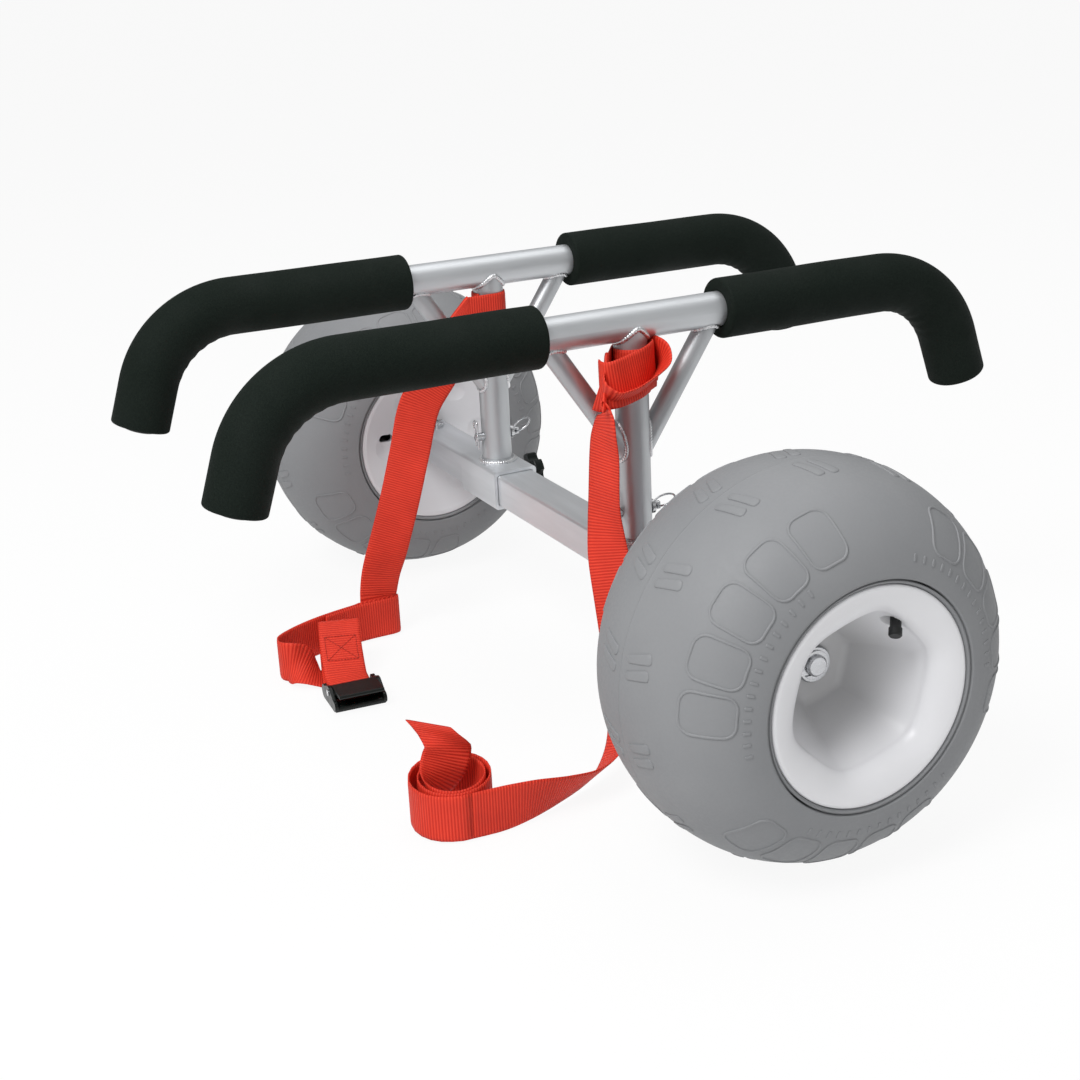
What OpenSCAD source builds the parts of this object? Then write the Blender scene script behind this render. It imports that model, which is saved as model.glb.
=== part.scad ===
// Two-wheel kayak cart: balloon wheels on a rectangular axle tube, two padded
// bunks on removable posts that slide along the tube, and a webbing tie-down.
// Millimetres. X runs along the axle, Y along the bunks, Z up, floor at Z = 0.

/* [Layout] */
// Distance between the middle planes of the two wheels
wheel_track = 740; // [600:5:900]
// Distance between the centre lines of the two bunks
bunk_spacing = 268; // [160:1:420]
// Height of the bunk tube axis above the axle axis
bunk_rise = 202; // [150:1:260]

/* [Axle tube] */
// Outer depth of the axle tube, front to rear
axle_tube_y = 37; // [28:0.5:60]
// Outer height of the axle tube
axle_tube_z = 30; // [24:0.5:50]
// Wall of the axle tube
axle_tube_wall = 2.5; // [1.5:0.1:4]
// Outer corner radius of the axle tube
axle_tube_corner = 2.6; // [1:0.1:5]
// Gap from the end of the axle tube to the wheel's hub bush
hub_side_gap = 4; // [3.9:0.1:8]
// Flange thickness of the end insert
insert_flange = 2.2; // [1:0.1:3]
// Length of the end insert inside the tube
insert_len = 60; // [45:1:90]
// Diameter of the stub axle
stub_d = 16; // [12:0.5:20]
// Length of the stub axle inside the tube
stub_engage = 66; // [50:1:100]
// Chamfer on the ends of the stub axle
stub_chamfer = 1.2; // [0.4:0.1:2]
// Distance of the wheel pin from the end of the tube
wheel_pin_inset = 25; // [12:1:35]
// Diameter of the wheel pin
wheel_pin_d = 6; // [4:0.5:10]
// Length of the wheel pin below the tube
wheel_pin_tail = 6; // [3:0.5:15]
// Diameter of the eye head of the wheel pin
pin_eye_d = 7; // [6:0.5:10]
// Height of the eye head of the wheel pin
pin_eye_h = 6; // [5:0.5:9]
// Height of the ring hole above the seat of the eye head
pin_eye_rise = 2.9; // [2.6:0.1:5]

/* [Pull rings] */
// Mean diameter of the wheel pin's ring
wheel_ring_d = 20; // [16:0.5:30]
// Mean diameter of the post pin's ring
post_ring_d = 18; // [16:0.5:30]
// Wire diameter of the rings
ring_wire = 1.8; // [1.4:0.1:2.4]
// Width of the flat on each side of an eye
eye_flat = 4.6; // [4:0.1:5.5]

/* [Sleeve and post] */
// Length of the sliding sleeve along the axle
sleeve_len = 76; // [50:1:120]
// Wall of the sliding sleeve
sleeve_wall = 3; // [2:0.1:5]
// Clearance between sleeve and axle tube on each side
sleeve_fit = 0.5; // [0.2:0.05:0.9]
// Outer diameter of the post
post_d = 28; // [20:0.5:35]
// Wall of the post
post_wall = 1.8; // [1.2:0.1:3]
// Clearance between the post and its spigot
spigot_fit = 0.2; // [0.1:0.05:0.5]
// Height of the spigot above the sleeve
spigot_h = 46; // [36:1:80]
// Bore of the spigot
spigot_bore = 18; // [8:0.5:19]
// Height of the seat collar under the post
collar_h = 4; // [2:0.5:8]
// How far the seat collar stands out past the post
collar_out = 1.2; // [0.5:0.1:3]
// Height of the cross pin above the sleeve
post_pin_h = 25.5; // [16:0.5:34]
// Diameter of the cross pin
post_pin_d = 8; // [6:0.5:10]
// Clearance of the cross pin in its holes
pin_fit = 0.2; // [0.1:0.05:0.5]
// Diameter of the cross pin's head
post_pin_head_d = 12; // [10:0.5:16]
// Thickness of the cross pin's head
post_pin_head = 3; // [2:0.5:5]
// Length of the cross pin in front of the post
post_pin_tail = 8; // [6:0.5:14]
// Distance of the clip hole from the front end of the cross pin
clip_inset = 3; // [2:0.5:5]
// Wire diameter of the spring clip
clip_wire = 1.8; // [1.4:0.1:2.4]
// Clearance of the spring clip in its hole
clip_fit = 0.15; // [0.1:0.05:0.4]
// Length of the clip's straight leg below the pin
clip_tail = 12; // [8:0.5:20]
// Height of the clip's eye above the pin
clip_rise = 11; // [9:0.5:16]
// Radius of the clip's eye
clip_eye_r = 4; // [3:0.5:5]
// Gap between the clip's outer leg and the pin
clip_side_gap = 0.3; // [0.1:0.1:0.8]
// Lean of the right spring clip
right_clip_lean = -40; // [-60:1:60]
// Lean of the left spring clip
left_clip_lean = 4; // [-60:1:60]

/* [Clamp knob] */
// Diameter of the star knob
knob_d = 36; // [26:0.5:50]
// Thickness of the star knob
knob_t = 13; // [8:0.5:20]
// Number of lobes on the star knob
knob_lobes = 5; // [4:1:8]
// Radius of the notches between the lobes
knob_notch_r = 6; // [4:0.5:8]
// Diameter of the clamping stud
stud_d = 8; // [6:0.5:10]
// Clearance of the stud in its nut
stud_fit = 0.05; // [0.02:0.01:0.1]
// Diameter of the weld nut
weld_nut_d = 17; // [13:0.5:22]
// Thickness of the weld nut
weld_nut_t = 6; // [4:0.5:10]
// Gap between weld nut and knob
knob_gap = 1; // [0.3:0.1:3]
// Gap between the stud's tip and the axle tube
stud_tip_gap = 0.3; // [0.1:0.1:0.8]

/* [Bunk] */
// Outer diameter of the bunk tube
bunk_d = 28.6; // [22:0.1:35]
// Wall of the bunk tube
bunk_wall = 2; // [1.2:0.1:3]
// Straight half length of the bunk tube before its bend
bunk_straight = 245; // [150:1:320]
// Centre line radius of the bend
bend_r = 82; // [60:1:120]
// Angle of the bend
bend_angle = 72; // [30:1:90]
// Straight length after the bend
bunk_tail = 39; // [20:1:80]
// Diameter of the braces
brace_d = 17.5; // [12:0.5:22]
// Wall of the braces
brace_wall = 1.6; // [1:0.1:2.5]
// Distance along the bunk where a brace axis meets the tube axis
brace_reach = 80; // [60:1:110]
// Drop from the tube axis to where a brace axis meets the post axis
brace_drop = 118; // [90:1:140]
// Leg of the weld beads
bead = 1.6; // [0.8:0.1:3]
// Outer diameter of the foam
foam_d = 50; // [40:1:70]
// Distance from the bunk's middle to the foam
foam_start = 83; // [70:1:140]
// Rounding of the foam's ends
foam_round = 2.5; // [1:0.5:6]
// Clearance between foam and tube
foam_fit = 0.1; // [0.05:0.05:0.5]
// Thickness of the tube cap's flange
cap_flange = 3; // [1:0.5:5]
// Depth of the tube cap inside the tube
cap_depth = 14; // [6:1:25]

/* [Tyre] */
// Outer diameter of the tyre
tyre_d = 300; // [240:2:340]
// Overall width of the tyre
tyre_w = 178; // [140:1:200]
// Radius at which the tyre is widest
tyre_wide_r = 81; // [70:1:100]
// Fullness of the tyre's section, 2 is an ellipse
tyre_fullness = 2.15; // [2:0.05:3]
// Wall of the tyre
tyre_wall = 5; // [3:0.5:8]
// Width of the tyre's bead
tyre_bead = 10; // [7:0.5:16]
// Clearance between tyre and hub
tyre_fit = 0.3; // [0.1:0.05:0.6]

/* [Hub] */
// Radius of the hub flanges
flange_r = 81.5; // [70:0.5:90]
// How far the flange lip lies inside the tyre's widest plane
lip_inset = 3; // [1:0.5:8]
// Thickness of the flange at its lip
lip_t = 2.6; // [2:0.1:5]
// How far the inner hub's bead seat drops from its lip
inner_seat_drop = 8; // [4:0.5:9]
// How far the outer hub's bead seat drops from its lip
outer_seat_drop = 1; // [0.5:0.5:4]
// Wall of the hub mouldings
hub_wall = 4; // [3:0.5:6]
// Outer radius of the hub barrel
barrel_r = 66; // [62:0.5:70]
// Radius of the outer hub's mouth
mouth_r = 61; // [50:0.5:61.5]
// Depth of the mouth below the crest of the flange
mouth_drop = 12; // [6:0.5:20]
// Distance from the wheel's middle plane to the floor of the outer cavity
cavity_floor = 16; // [10:0.5:30]
// Radius of the cavity at its floor
cavity_r = 34; // [26:0.5:40]
// Number of flats round the cavity
cavity_flats = 6; // [5:1:8]
// How far each flat cuts inside the round cavity at its floor
flat_cut = 7; // [2:0.5:10]
// How far each flat cuts inside the round cavity at its mouth
flat_cut_mouth = 2.5; // [0.5:0.5:6]
// Distance from the wheel's middle plane to the dish floor of the inner hub
dish_floor = 60; // [50:0.5:70]
// Radius of the flat middle of the dish
dish_r = 24; // [20:0.5:30]
// Radius of the outer edge of the dish
dish_edge_r = 74; // [66:0.5:76]
// Rise of the dish from its floor to its edge
dish_rise = 24; // [14:0.5:26]
// Number of hollows in the dish
hollows = 6; // [3:1:8]
// Radius of the ball that cuts a hollow
hollow_ball = 30; // [18:1:40]
// Wall of the dish
dish_wall = 6; // [4:0.5:9]
// Depth of a hollow
hollow_depth = 2.5; // [1:0.5:3]
// Distance of the hollows from the axle
hollow_r = 54; // [44:1:60]
// Radius of the central boss
boss_r = 18; // [15:0.5:22]
// Outer diameter of the hub bushes
bush_d = 22; // [19:0.5:28]
// Length of a hub bush
bush_len = 16; // [8:0.5:24]
// Flange diameter of a hub bush
bush_flange_d = 28; // [24:0.5:34]
// Flange thickness of a hub bush
bush_flange_t = 2; // [1:0.1:3]
// Running clearance of the stub axle in the bushes
bush_fit = 0.05; // [0.02:0.01:0.09]
// Circle radius of the hub bolts
bolt_circle_r = 37; // [30:0.5:44]
// Number of hub bolts
bolts = 3; // [3:1:6]
// Diameter of the hub bolts
bolt_d = 6; // [4:0.5:8]
// Diameter of the bolt heads
bolt_head_d = 11; // [8:0.5:14]
// Height of the bolt heads
bolt_head_h = 4.5; // [3:0.5:7]
// Radius of the posts round the hub bolts
bolt_post_r = 7.5; // [6:0.5:9]
// Length of the slot in the inner hub
slot_len = 17; // [8:1:24]
// Width of the slot in the inner hub
slot_w = 8; // [4:0.5:12]
// Distance of the slot from the axle
slot_r = 51; // [44:1:53]
// Turn of the slot about the axle
slot_turn = -99; // [-180:1:180]
// Turn of the bolts about the axle
bolt_turn = 6; // [-60:1:60]
// Thickness of the thrust washers
washer_t = 1.5; // [1:0.1:3]
// Outer diameter of the thrust washers
washer_d = 26; // [22:0.5:34]
// Side play between hub bush and washer
side_play = 0.3; // [0.1:0.05:0.6]
// Thickness of the retaining clip
snap_t = 1.2; // [0.8:0.1:2]
// Length of the stub axle past the retaining clip
stub_end = 3; // [2:0.5:6]

/* [Valve] */
// Distance of the valve from the wheel's middle plane
valve_z = 66; // [56:0.5:70]
// Diameter of the valve stem
valve_d = 8; // [6:0.5:10]
// Length of the valve stem inside the cavity
valve_len = 20; // [10:0.5:24]
// Lean of the valve stem towards the open side
valve_lean = 35; // [0:1:50]
// Diameter of the valve's rubber foot
valve_foot_d = 13; // [11:0.5:16]
// Diameter of the valve hole
valve_hole_d = 13.4; // [11:0.1:18]
// Turn of the valve about the axle, from straight up
valve_turn = 35; // [0:1:360]

/* [Webbing] */
// Width of the webbing
web_w = 38; // [25:1:50]
// Thickness of the webbing
web_t = 1.6; // [1:0.1:2.2]
// Gap between the webbing and what it is wrapped round
web_gap = 0.3; // [0.2:0.1:1]
// Height of the wraps' middle below the bunk tube's axis
wrap_drop = 38; // [36:1:60]
// Outer mean radius of the rolled strap
coil_r = 32; // [26:1:40]
// Step from one turn of the roll to the next
coil_step = 3.4; // [2.2:0.1:6]
// Turns of the roll before its free end rises
coil_turns = 2.2; // [1:0.05:3]
// Angle over which the free end rises
coil_tail_sweep = 110; // [60:5:180]
// How far the free end comes in while it rises
coil_tail_in = 13; // [0:0.5:14]
// Height of the free end above the roll's middle
coil_tail_rise = 34; // [10:1:40]

/* [Cam buckle] */
// Width inside the buckle's cheeks
buckle_in_w = 42; // [40:0.5:54]
// Thickness of a cheek
cheek_t = 3; // [2:0.1:4]
// Length of the buckle in front of its strap bar
buckle_len = 38; // [32:1:60]
// Height of the cheeks
cheek_h = 18; // [16:0.5:24]
// Thickness of the base plate
buckle_base_t = 3; // [2:0.1:4]
// Diameter of the strap bar
strap_bar_d = 5; // [4:0.5:7]
// Height of the strap bar's axis above the floor
strap_bar_z = 7; // [6:0.5:10]
// Distance from the strap bar to the cam pin
cam_pin_u = 17; // [14:0.5:24]
// Diameter of the cam pin
cam_pin_d = 4; // [3:0.5:5]
// Clearance of the cam on its pin
cam_fit = 0.05; // [0.02:0.01:0.1]
// Gap between the cam and each cheek
cam_side_gap = 0.5; // [0.3:0.1:1]
// Gap between the cam's nose and the base plate
cam_nose_gap = 1; // [0.6:0.1:2]
// Number of teeth on the cam
cam_teeth = 5; // [3:1:7]
// Thickness of the thumb plate
thumb_t = 3; // [2:0.1:4]

/* [Hidden] */
$fn = 64;
axle_h = tyre_d / 2;
half_track = wheel_track / 2;
half_w = tyre_w / 2;
bunk_x = bunk_spacing / 2;
bunk_z = axle_h + bunk_rise;
post_r = post_d / 2;
bunk_r = bunk_d / 2;
foam_r = foam_d / 2;
brace_r = brace_d / 2;
brace_tilt = atan2(brace_reach, brace_drop);
big = 400;
nudge = 0.01;

// Places along the axle, measured outward from the wheel's middle plane
bush_in_z = -dish_floor - bush_flange_t;
bush_out_z = cavity_floor + bush_flange_t;
tube_end_x = half_track + bush_in_z - hub_side_gap;
insert_out_x = tube_end_x + insert_flange;
snap_z = bush_out_z + side_play + washer_t;
stub_out_x = half_track + snap_z + snap_t + stub_end;
wheel_pin_x = tube_end_x - wheel_pin_inset;

// Hub section
lip_z = half_w - lip_inset;
crest_z = lip_z + lip_t / 2;
crest_r = flange_r - lip_t;
mouth_z = crest_z - mouth_drop;
flange_back_z = lip_z - lip_t;
dish_slope = atan2(dish_rise, dish_edge_r - dish_r);
cavity_h = mouth_z - cavity_floor;

// Sleeve and post
sleeve_y = axle_tube_y + 2 * (sleeve_fit + sleeve_wall);
sleeve_z = axle_tube_z + 2 * (sleeve_fit + sleeve_wall);
sleeve_top = axle_h + sleeve_z / 2;
collar_r = post_r + collar_out;
spigot_r = post_r - post_wall - spigot_fit;
post_bottom = sleeve_top + collar_h;
pin_z = sleeve_top + post_pin_h;
eye_hole_r = ring_wire / 2 + 0.75;
post_eye_y = post_r + post_pin_head + pin_eye_rise;
clip_y = -post_r - post_pin_tail + clip_inset;

// Webbing
floor_gap = 0.3;
web_mid = web_w / 2 + floor_gap;
wrap_r = post_r + web_gap + web_t / 2;
wrap_z = bunk_z - wrap_drop;
fold_gap = web_t + 0.6;
// Rows are the middle of the webbing and the direction of its width
right_leave = 235;
right_wrap = 325;
right_run = 43;
right_hang = [[161.5, -40, 290, -0.86, 0.5, 0], [164, -42.6, 275, -1, 0.1, 0],
  [164, -43.2, 256, -1, -0.15, 0], [165, -45.5, 219, -0.98, -0.2, 0],
  [167, -46, 195, -0.93, -0.35, 0], [172.5, -47, 171, -0.85, -0.52, 0],
  [182, -48, 140, -0.85, -0.52, 0], [192, -50, 110, -0.88, -0.45, 0],
  [201, -54, 83, -0.93, -0.3, -0.1], [209, -60, 58, -0.98, -0.1, -0.2],
  [217, -70, 34, -0.9, 0, -0.4], [225, -86, 21, -0.8, 0, -0.6],
  [232, -106, 17, -0.7, 0, -0.72], [238, -132, 17.8, -0.5, 0, -0.87],
  [241, -160, 19.3, -0.2, 0, -1], [241, -184, 19.3, 0, 0, -1]];
coil_at = [208, -208];
left_fold = [-bunk_x + wrap_r, -46];
left_hang = [[-121, -48, 291, 0, 1, 0], [-122, -53, 272, 0, 1, 0],
  [-130, -77, 238, 0.4, 0.9, 0], [-142, -86, 191, 0.6, 0.8, 0],
  [-152, -96, 142, 0.6, 0.8, 0], [-161, -107, 97, 0.5, 0.85, 0],
  [-168, -115, 66, 0.2, 1, 0], [-170, -119, 44, 0, 1, 0]];
left_floor_fold = [-170, -121];
crease_rise = 1.4;
left_loop = [[-167.5, -145, 20, 0, 0, 1], [-164, -170, 19.3, 0, 0, 1],
  [-157, -194, 19.3, 0, 0, 1], [-147, -216, 19.3, 0, 0, 1],
  [-135, -233, 19.3, 0, 0, 1], [-122, -236, 19.3, 0, 0, 1],
  [-113, -230, 19.3, -0.1, 0.05, 1], [-108, -221, 15.8, -0.6, 0.3, 0.75],
  [-104.5, -212.5, 7.7, -0.88, 0.3, 0.32]];
left_flat_fold = [-96, -187, 1.2];
flat_turn = 17;
left_end = [[-120, -179.5, 3.6, 0.3, 0.95, 0], [-128.5, -176.8, 6, 0.3, 0.95, 0],
  [-135, -174.5, 14, 0.3, 0.95, 0], [-137.5, -173.5, 27, 0.3, 0.95, 0],
  [-133.5, -174.5, 39, 0.3, 0.95, 0], [-122.5, -177.5, 45, 0.3, 0.95, 0],
  [-110, -182, 41, 0.25, 0.95, 0], [-97, -186, 31, 0.2, 1, 0],
  [-82, -190, 20.5, 0.1, 1, 0], [-71, -192.5, 13.5, 0.1, 1, 0],
  [-62, -193.5, 11.2, 0.1, 1, 0], [-57.3, -194, 8.6, 0.1, 1, 0],
  [-57.3, -194, 5.4, 0.1, 1, 0], [-61, -193.5, 2.9, 0.1, 1, 0],
  [-67, -192.8, 4.6, 0.1, 1, 0], [-75, -191, 10.8, 0.1, 1, 0],
  [-84, -189, 17.3, 0.1, 1, 0], [-96, -186, 26, 0.2, 1, 0]];
buckle_at = [-61, -193.5];
buckle_turn = -5;

aluminium = [0.74, 0.76, 0.78];
steel = [0.62, 0.64, 0.67];
black = [0.08, 0.09, 0.09];
white = [0.92, 0.92, 0.94];
grey = [0.55, 0.56, 0.58];
orange = [0.83, 0.24, 0.17];

// Right-hand geometry is drawn once and mirrored for the left
module left_hand() { mirror([1, 0, 0]) children(); }
module both_ends() { children(); mirror([0, 1, 0]) children(); }
module at_axle() { translate([0, 0, axle_h]) children(); }
module at_wheel() { translate([half_track, 0, axle_h]) rotate([0, 90, 0]) children(); }
module at_bunk() { translate([bunk_x, 0, 0]) children(); }

function arc(cx, cy, r, a0, a1, n) =
  [for (i = [0:n]) let (a = a0 + (a1 - a0) * i / n) [cx + r * cos(a), cy + r * sin(a)]];

// Rectangular bar with rounded long edges, along X from x0 to x1
module bar_x(x0, x1, wy, wz, r) {
  translate([x0, 0, 0]) rotate([90, 0, 90]) linear_extrude(x1 - x0) rounded(wy, wz, r);
}

module rounded(w, h, r) {
  union() {
    square([w - 2 * r, h], center = true);
    square([w, h - 2 * r], center = true);
    for (sx = [-1, 1]) for (sy = [-1, 1])
      translate([sx * (w / 2 - r), sy * (h / 2 - r)]) circle(r);
  }
}

// Axle
module axle_tube() {
  inner_corner = max(0.5, axle_tube_corner - axle_tube_wall);
  color(aluminium) at_axle() difference() {
    bar_x(-tube_end_x, tube_end_x, axle_tube_y, axle_tube_z, axle_tube_corner);
    bar_x(-tube_end_x - 1, tube_end_x + 1, axle_tube_y - 2 * axle_tube_wall,
      axle_tube_z - 2 * axle_tube_wall, inner_corner);
    for (s = [-1, 1]) translate([s * wheel_pin_x, 0, 0])
      cylinder(h = axle_tube_z + 2, d = wheel_pin_d + 2 * pin_fit, center = true);
  }
}

module axle_insert() {
  plug_y = axle_tube_y - 2 * axle_tube_wall;
  plug_z = axle_tube_z - 2 * axle_tube_wall;
  color(black) at_axle() difference() {
    union() {
      bar_x(tube_end_x - insert_len, tube_end_x + nudge, plug_y, plug_z, 0.8);
      bar_x(tube_end_x, insert_out_x, axle_tube_y, axle_tube_z, axle_tube_corner);
    }
    translate([tube_end_x - insert_len - 1, 0, 0]) rotate([0, 90, 0])
      cylinder(h = insert_len + insert_flange + 2, d = stub_d + 2 * bush_fit);
    translate([wheel_pin_x, 0, 0])
      cylinder(h = axle_tube_z + 2, d = wheel_pin_d + 2 * pin_fit, center = true);
  }
}

module stub_axle() {
  x0 = tube_end_x - stub_engage;
  r = stub_d / 2;
  len = stub_out_x - x0;
  color(steel) at_axle() difference() {
    translate([x0, 0, 0]) rotate([0, 90, 0]) rotate_extrude() polygon([[0, 0],
      [r - stub_chamfer, 0], [r, stub_chamfer], [r, len - stub_end - snap_t],
      [r - 1, len - stub_end - snap_t], [r - 1, len - stub_end], [r, len - stub_end],
      [r, len - stub_chamfer], [r - stub_chamfer, len], [0, len]]);
    translate([wheel_pin_x, 0, 0])
      cylinder(h = axle_tube_z + 2, d = wheel_pin_d + 2 * pin_fit, center = true);
  }
}

module washer(z) {
  translate([0, 0, z]) difference() {
    cylinder(h = washer_t, d = washer_d);
    translate([0, 0, -1]) cylinder(h = washer_t + 2, d = stub_d + 2 * bush_fit);
  }
}

module axle_hardware() {
  color(steel) at_wheel() {
    washer(insert_out_x - half_track);
    washer(snap_z - washer_t);
    // Retaining clip, open on one side, in the groove of the stub axle
    translate([0, 0, snap_z]) difference() {
      cylinder(h = snap_t, d = stub_d + 6);
      translate([0, 0, -1]) cylinder(h = snap_t + 2, d = stub_d - 2 + 2 * bush_fit);
      translate([-stub_d / 2 + 1, -big, -1]) cube([stub_d - 2, big, snap_t + 2]);
    }
  }
}

// Eye head: a short round post with two flats and a cross hole along Y
module eye_head(h, hole_h) {
  difference() {
    intersection() {
      cylinder(h = h, d = pin_eye_d);
      translate([-pin_eye_d, -eye_flat / 2, 0]) cube([2 * pin_eye_d, eye_flat, h]);
    }
    translate([0, 0, hole_h]) rotate([90, 0, 0])
      cylinder(h = 2 * pin_eye_d, r = eye_hole_r, center = true);
  }
}

module wheel_pin() {
  top = axle_tube_z / 2;
  color(steel) at_axle() translate([wheel_pin_x, 0, 0]) {
    translate([0, 0, -top - wheel_pin_tail + 1])
      cylinder(h = 2 * top + wheel_pin_tail - 1, d = wheel_pin_d);
    translate([0, 0, -top - wheel_pin_tail])
      cylinder(h = 1, d1 = wheel_pin_d - 2, d2 = wheel_pin_d);
    translate([0, 0, top]) eye_head(pin_eye_h, pin_eye_rise);
  }
}

module wire_ring(d) {
  rotate_extrude() translate([d / 2, 0]) circle(d = ring_wire, $fn = 24);
}

// The ring lies on the tube, hinged in the pin's eye
module wheel_pin_ring() {
  eye_z = axle_tube_z / 2 + pin_eye_rise;
  droop = asin((pin_eye_rise - ring_wire / 2 - 0.2) / wheel_ring_d);
  color(steel) at_axle() translate([wheel_pin_x, 0, eye_z]) rotate([0, droop, 0])
    translate([wheel_ring_d / 2, 0, 0]) wire_ring(wheel_ring_d);
}

// Sleeve, spigot and clamp
module sleeve() {
  color(aluminium) at_bunk() at_axle() difference() {
    bar_x(-sleeve_len / 2, sleeve_len / 2, sleeve_y, sleeve_z,
      axle_tube_corner + sleeve_fit);
    bar_x(-sleeve_len / 2 - 1, sleeve_len / 2 + 1, axle_tube_y + 2 * sleeve_fit,
      axle_tube_z + 2 * sleeve_fit, axle_tube_corner + sleeve_fit);
    rotate([-90, 0, 0]) cylinder(h = sleeve_y, d = stud_d + 2 * pin_fit);
  }
}

module post_spigot() {
  color(aluminium) at_bunk() difference() {
    translate([0, 0, sleeve_top]) union() {
      cylinder(h = spigot_h - 1.5, r = spigot_r);
      translate([0, 0, spigot_h - 1.5])
        cylinder(h = 1.5, r1 = spigot_r, r2 = spigot_r - 1.5);
      cylinder(h = collar_h, r = collar_r);
      // Weld bead round the foot of the collar
      rotate_extrude() polygon([[collar_r - 1, 0], [collar_r + 1.6 * bead, 0],
        [collar_r + 1.3 * bead, 0.7 * bead], [collar_r + 0.7 * bead, 1.3 * bead],
        [collar_r, 1.6 * bead], [collar_r - 1, 1.6 * bead]]);
    }
    translate([0, 0, sleeve_top + collar_h]) cylinder(h = spigot_h, d = spigot_bore);
    translate([0, 0, pin_z]) rotate([90, 0, 0])
      cylinder(h = 4 * post_r, d = post_pin_d + 2 * pin_fit, center = true);
  }
}

module clamp_nut() {
  color(steel) at_bunk() at_axle() translate([0, sleeve_y / 2, 0])
    rotate([-90, 0, 0]) difference() {
      union() {
        cylinder(h = weld_nut_t, d = weld_nut_d);
        cylinder(h = 1.4 * bead, d1 = weld_nut_d + 2.8 * bead, d2 = weld_nut_d);
      }
      translate([0, 0, -1]) cylinder(h = weld_nut_t + 2, d = stud_d + 2 * stud_fit);
    }
}

module clamp_knob() {
  knob_y = sleeve_y / 2 + weld_nut_t + knob_gap;
  tip_y = axle_tube_y / 2 + stud_tip_gap;
  edge = 2;
  foot = 3;
  color(black) at_bunk() at_axle() {
    translate([0, knob_y, 0]) rotate([-90, 0, 0]) difference() {
      rotate_extrude() polygon(concat([[0, 0], [weld_nut_d / 2, 0], [weld_nut_d / 2, foot]],
        arc(knob_d / 2 - edge, foot + edge, edge, -90, 0, 5),
        arc(knob_d / 2 - edge, knob_t - edge, edge, 0, 90, 5),
        [[weld_nut_d / 2 - 1, knob_t], [weld_nut_d / 2 - 2, knob_t - 2], [0, knob_t - 2]]));
      for (i = [1:knob_lobes]) rotate((i + 0.5) * 360 / knob_lobes)
        translate([knob_d / 2 + 0.5, 0, foot - 1]) cylinder(h = knob_t, r = knob_notch_r);
    }
    // Steel stud moulded into the knob
    translate([0, tip_y, 0]) rotate([-90, 0, 0])
      cylinder(h = knob_y - tip_y + 4, d = stud_d);
  }
}

// Cross pin with its eye at the rear and its clip hole at the front
module post_pin(lean) {
  front = post_r + post_pin_tail;
  color(steel) at_bunk() translate([0, 0, pin_z]) rotate([-90, 0, 0]) difference() {
    union() {
      translate([0, 0, -front + 1]) cylinder(h = front + post_r, d = post_pin_d);
      translate([0, 0, -front]) cylinder(h = 1, d1 = post_pin_d - 2, d2 = post_pin_d);
      translate([0, 0, post_r]) cylinder(h = post_pin_head, d = post_pin_head_d);
      translate([0, 0, post_r + post_pin_head]) rotate(90)
        eye_head(pin_eye_h, pin_eye_rise);
    }
    translate([0, 0, clip_y]) rotate([90, 0, lean])
      cylinder(h = 4 * post_pin_d, d = clip_wire + 2 * clip_fit, center = true);
  }
}

module post_pin_ring(lean) {
  color(steel) at_bunk() translate([0, post_eye_y, pin_z]) rotate([lean, 0, 0])
    translate([0, post_ring_d / 2, 0]) wire_ring(post_ring_d);
}

// Wire bent to an arc in the XZ plane, from angle a0 through sweep
module wire_arc(x, z, r, a0, sweep) {
  translate([x, 0, z]) rotate([90, 0, 0]) rotate(a0)
    rotate_extrude(angle = sweep) translate([r, 0]) circle(d = clip_wire, $fn = 24);
}

module wire_leg(x, z0, z1) {
  translate([x, 0, z0]) linear_extrude(z1 - z0) circle(d = clip_wire, $fn = 24);
}

// Spring clip: a straight leg through the pin, an eye above it and a leg beside the pin
module post_clip(lean) {
  leg_gap = post_pin_d / 2 + clip_wire / 2 + clip_side_gap;
  neck_r = clip_eye_r * 0.75;
  turn = acos((leg_gap + neck_r - clip_eye_r) / (clip_eye_r + neck_r));
  neck_z = clip_rise - (clip_eye_r + neck_r) * sin(turn);
  foot = clip_tail * 0.6;
  color(steel) at_bunk() translate([0, clip_y, pin_z]) rotate([0, lean, 0]) {
    wire_leg(0, -clip_tail, clip_rise);
    wire_arc(clip_eye_r, clip_rise, clip_eye_r, -turn, 180 + turn);
    wire_arc(leg_gap + neck_r, neck_z, neck_r, 180 - turn, turn);
    wire_leg(leg_gap, -foot, neck_z);
    wire_arc(leg_gap + neck_r, -foot, neck_r, 180, 40);
  }
}

// Bunk: post, bent tube, braces, foam
module along_y(y0, y1, r) {
  translate([0, y0, 0]) rotate([-90, 0, 0]) cylinder(h = y1 - y0, r = r);
}

module ring_section(r, bore_r) {
  difference() {
    circle(r);
    circle(bore_r);
  }
}

// Pipe from y0 along the rear half of the bunk's centre line: straight, bend, tail
module bent_pipe(y0, r, bore_r, tail) {
  translate([0, y0, 0]) rotate([-90, 0, 0]) linear_extrude(bunk_straight - y0)
    ring_section(r, bore_r);
  bend_pipe(r, bore_r);
  at_bend_end() linear_extrude(tail) ring_section(r, bore_r);
}

module bend_pipe(r, bore_r) {
  translate([0, bunk_straight, -bend_r]) rotate([90, 0, 90])
    rotate([0, 0, 90 - bend_angle]) rotate_extrude(angle = bend_angle)
      translate([bend_r, 0]) ring_section(r, bore_r);
}

module at_bend_end() {
  translate([0, bunk_straight, -bend_r]) rotate([-bend_angle, 0, 0])
    translate([0, 0, bend_r]) rotate([-90, 0, 0]) children();
}

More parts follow.
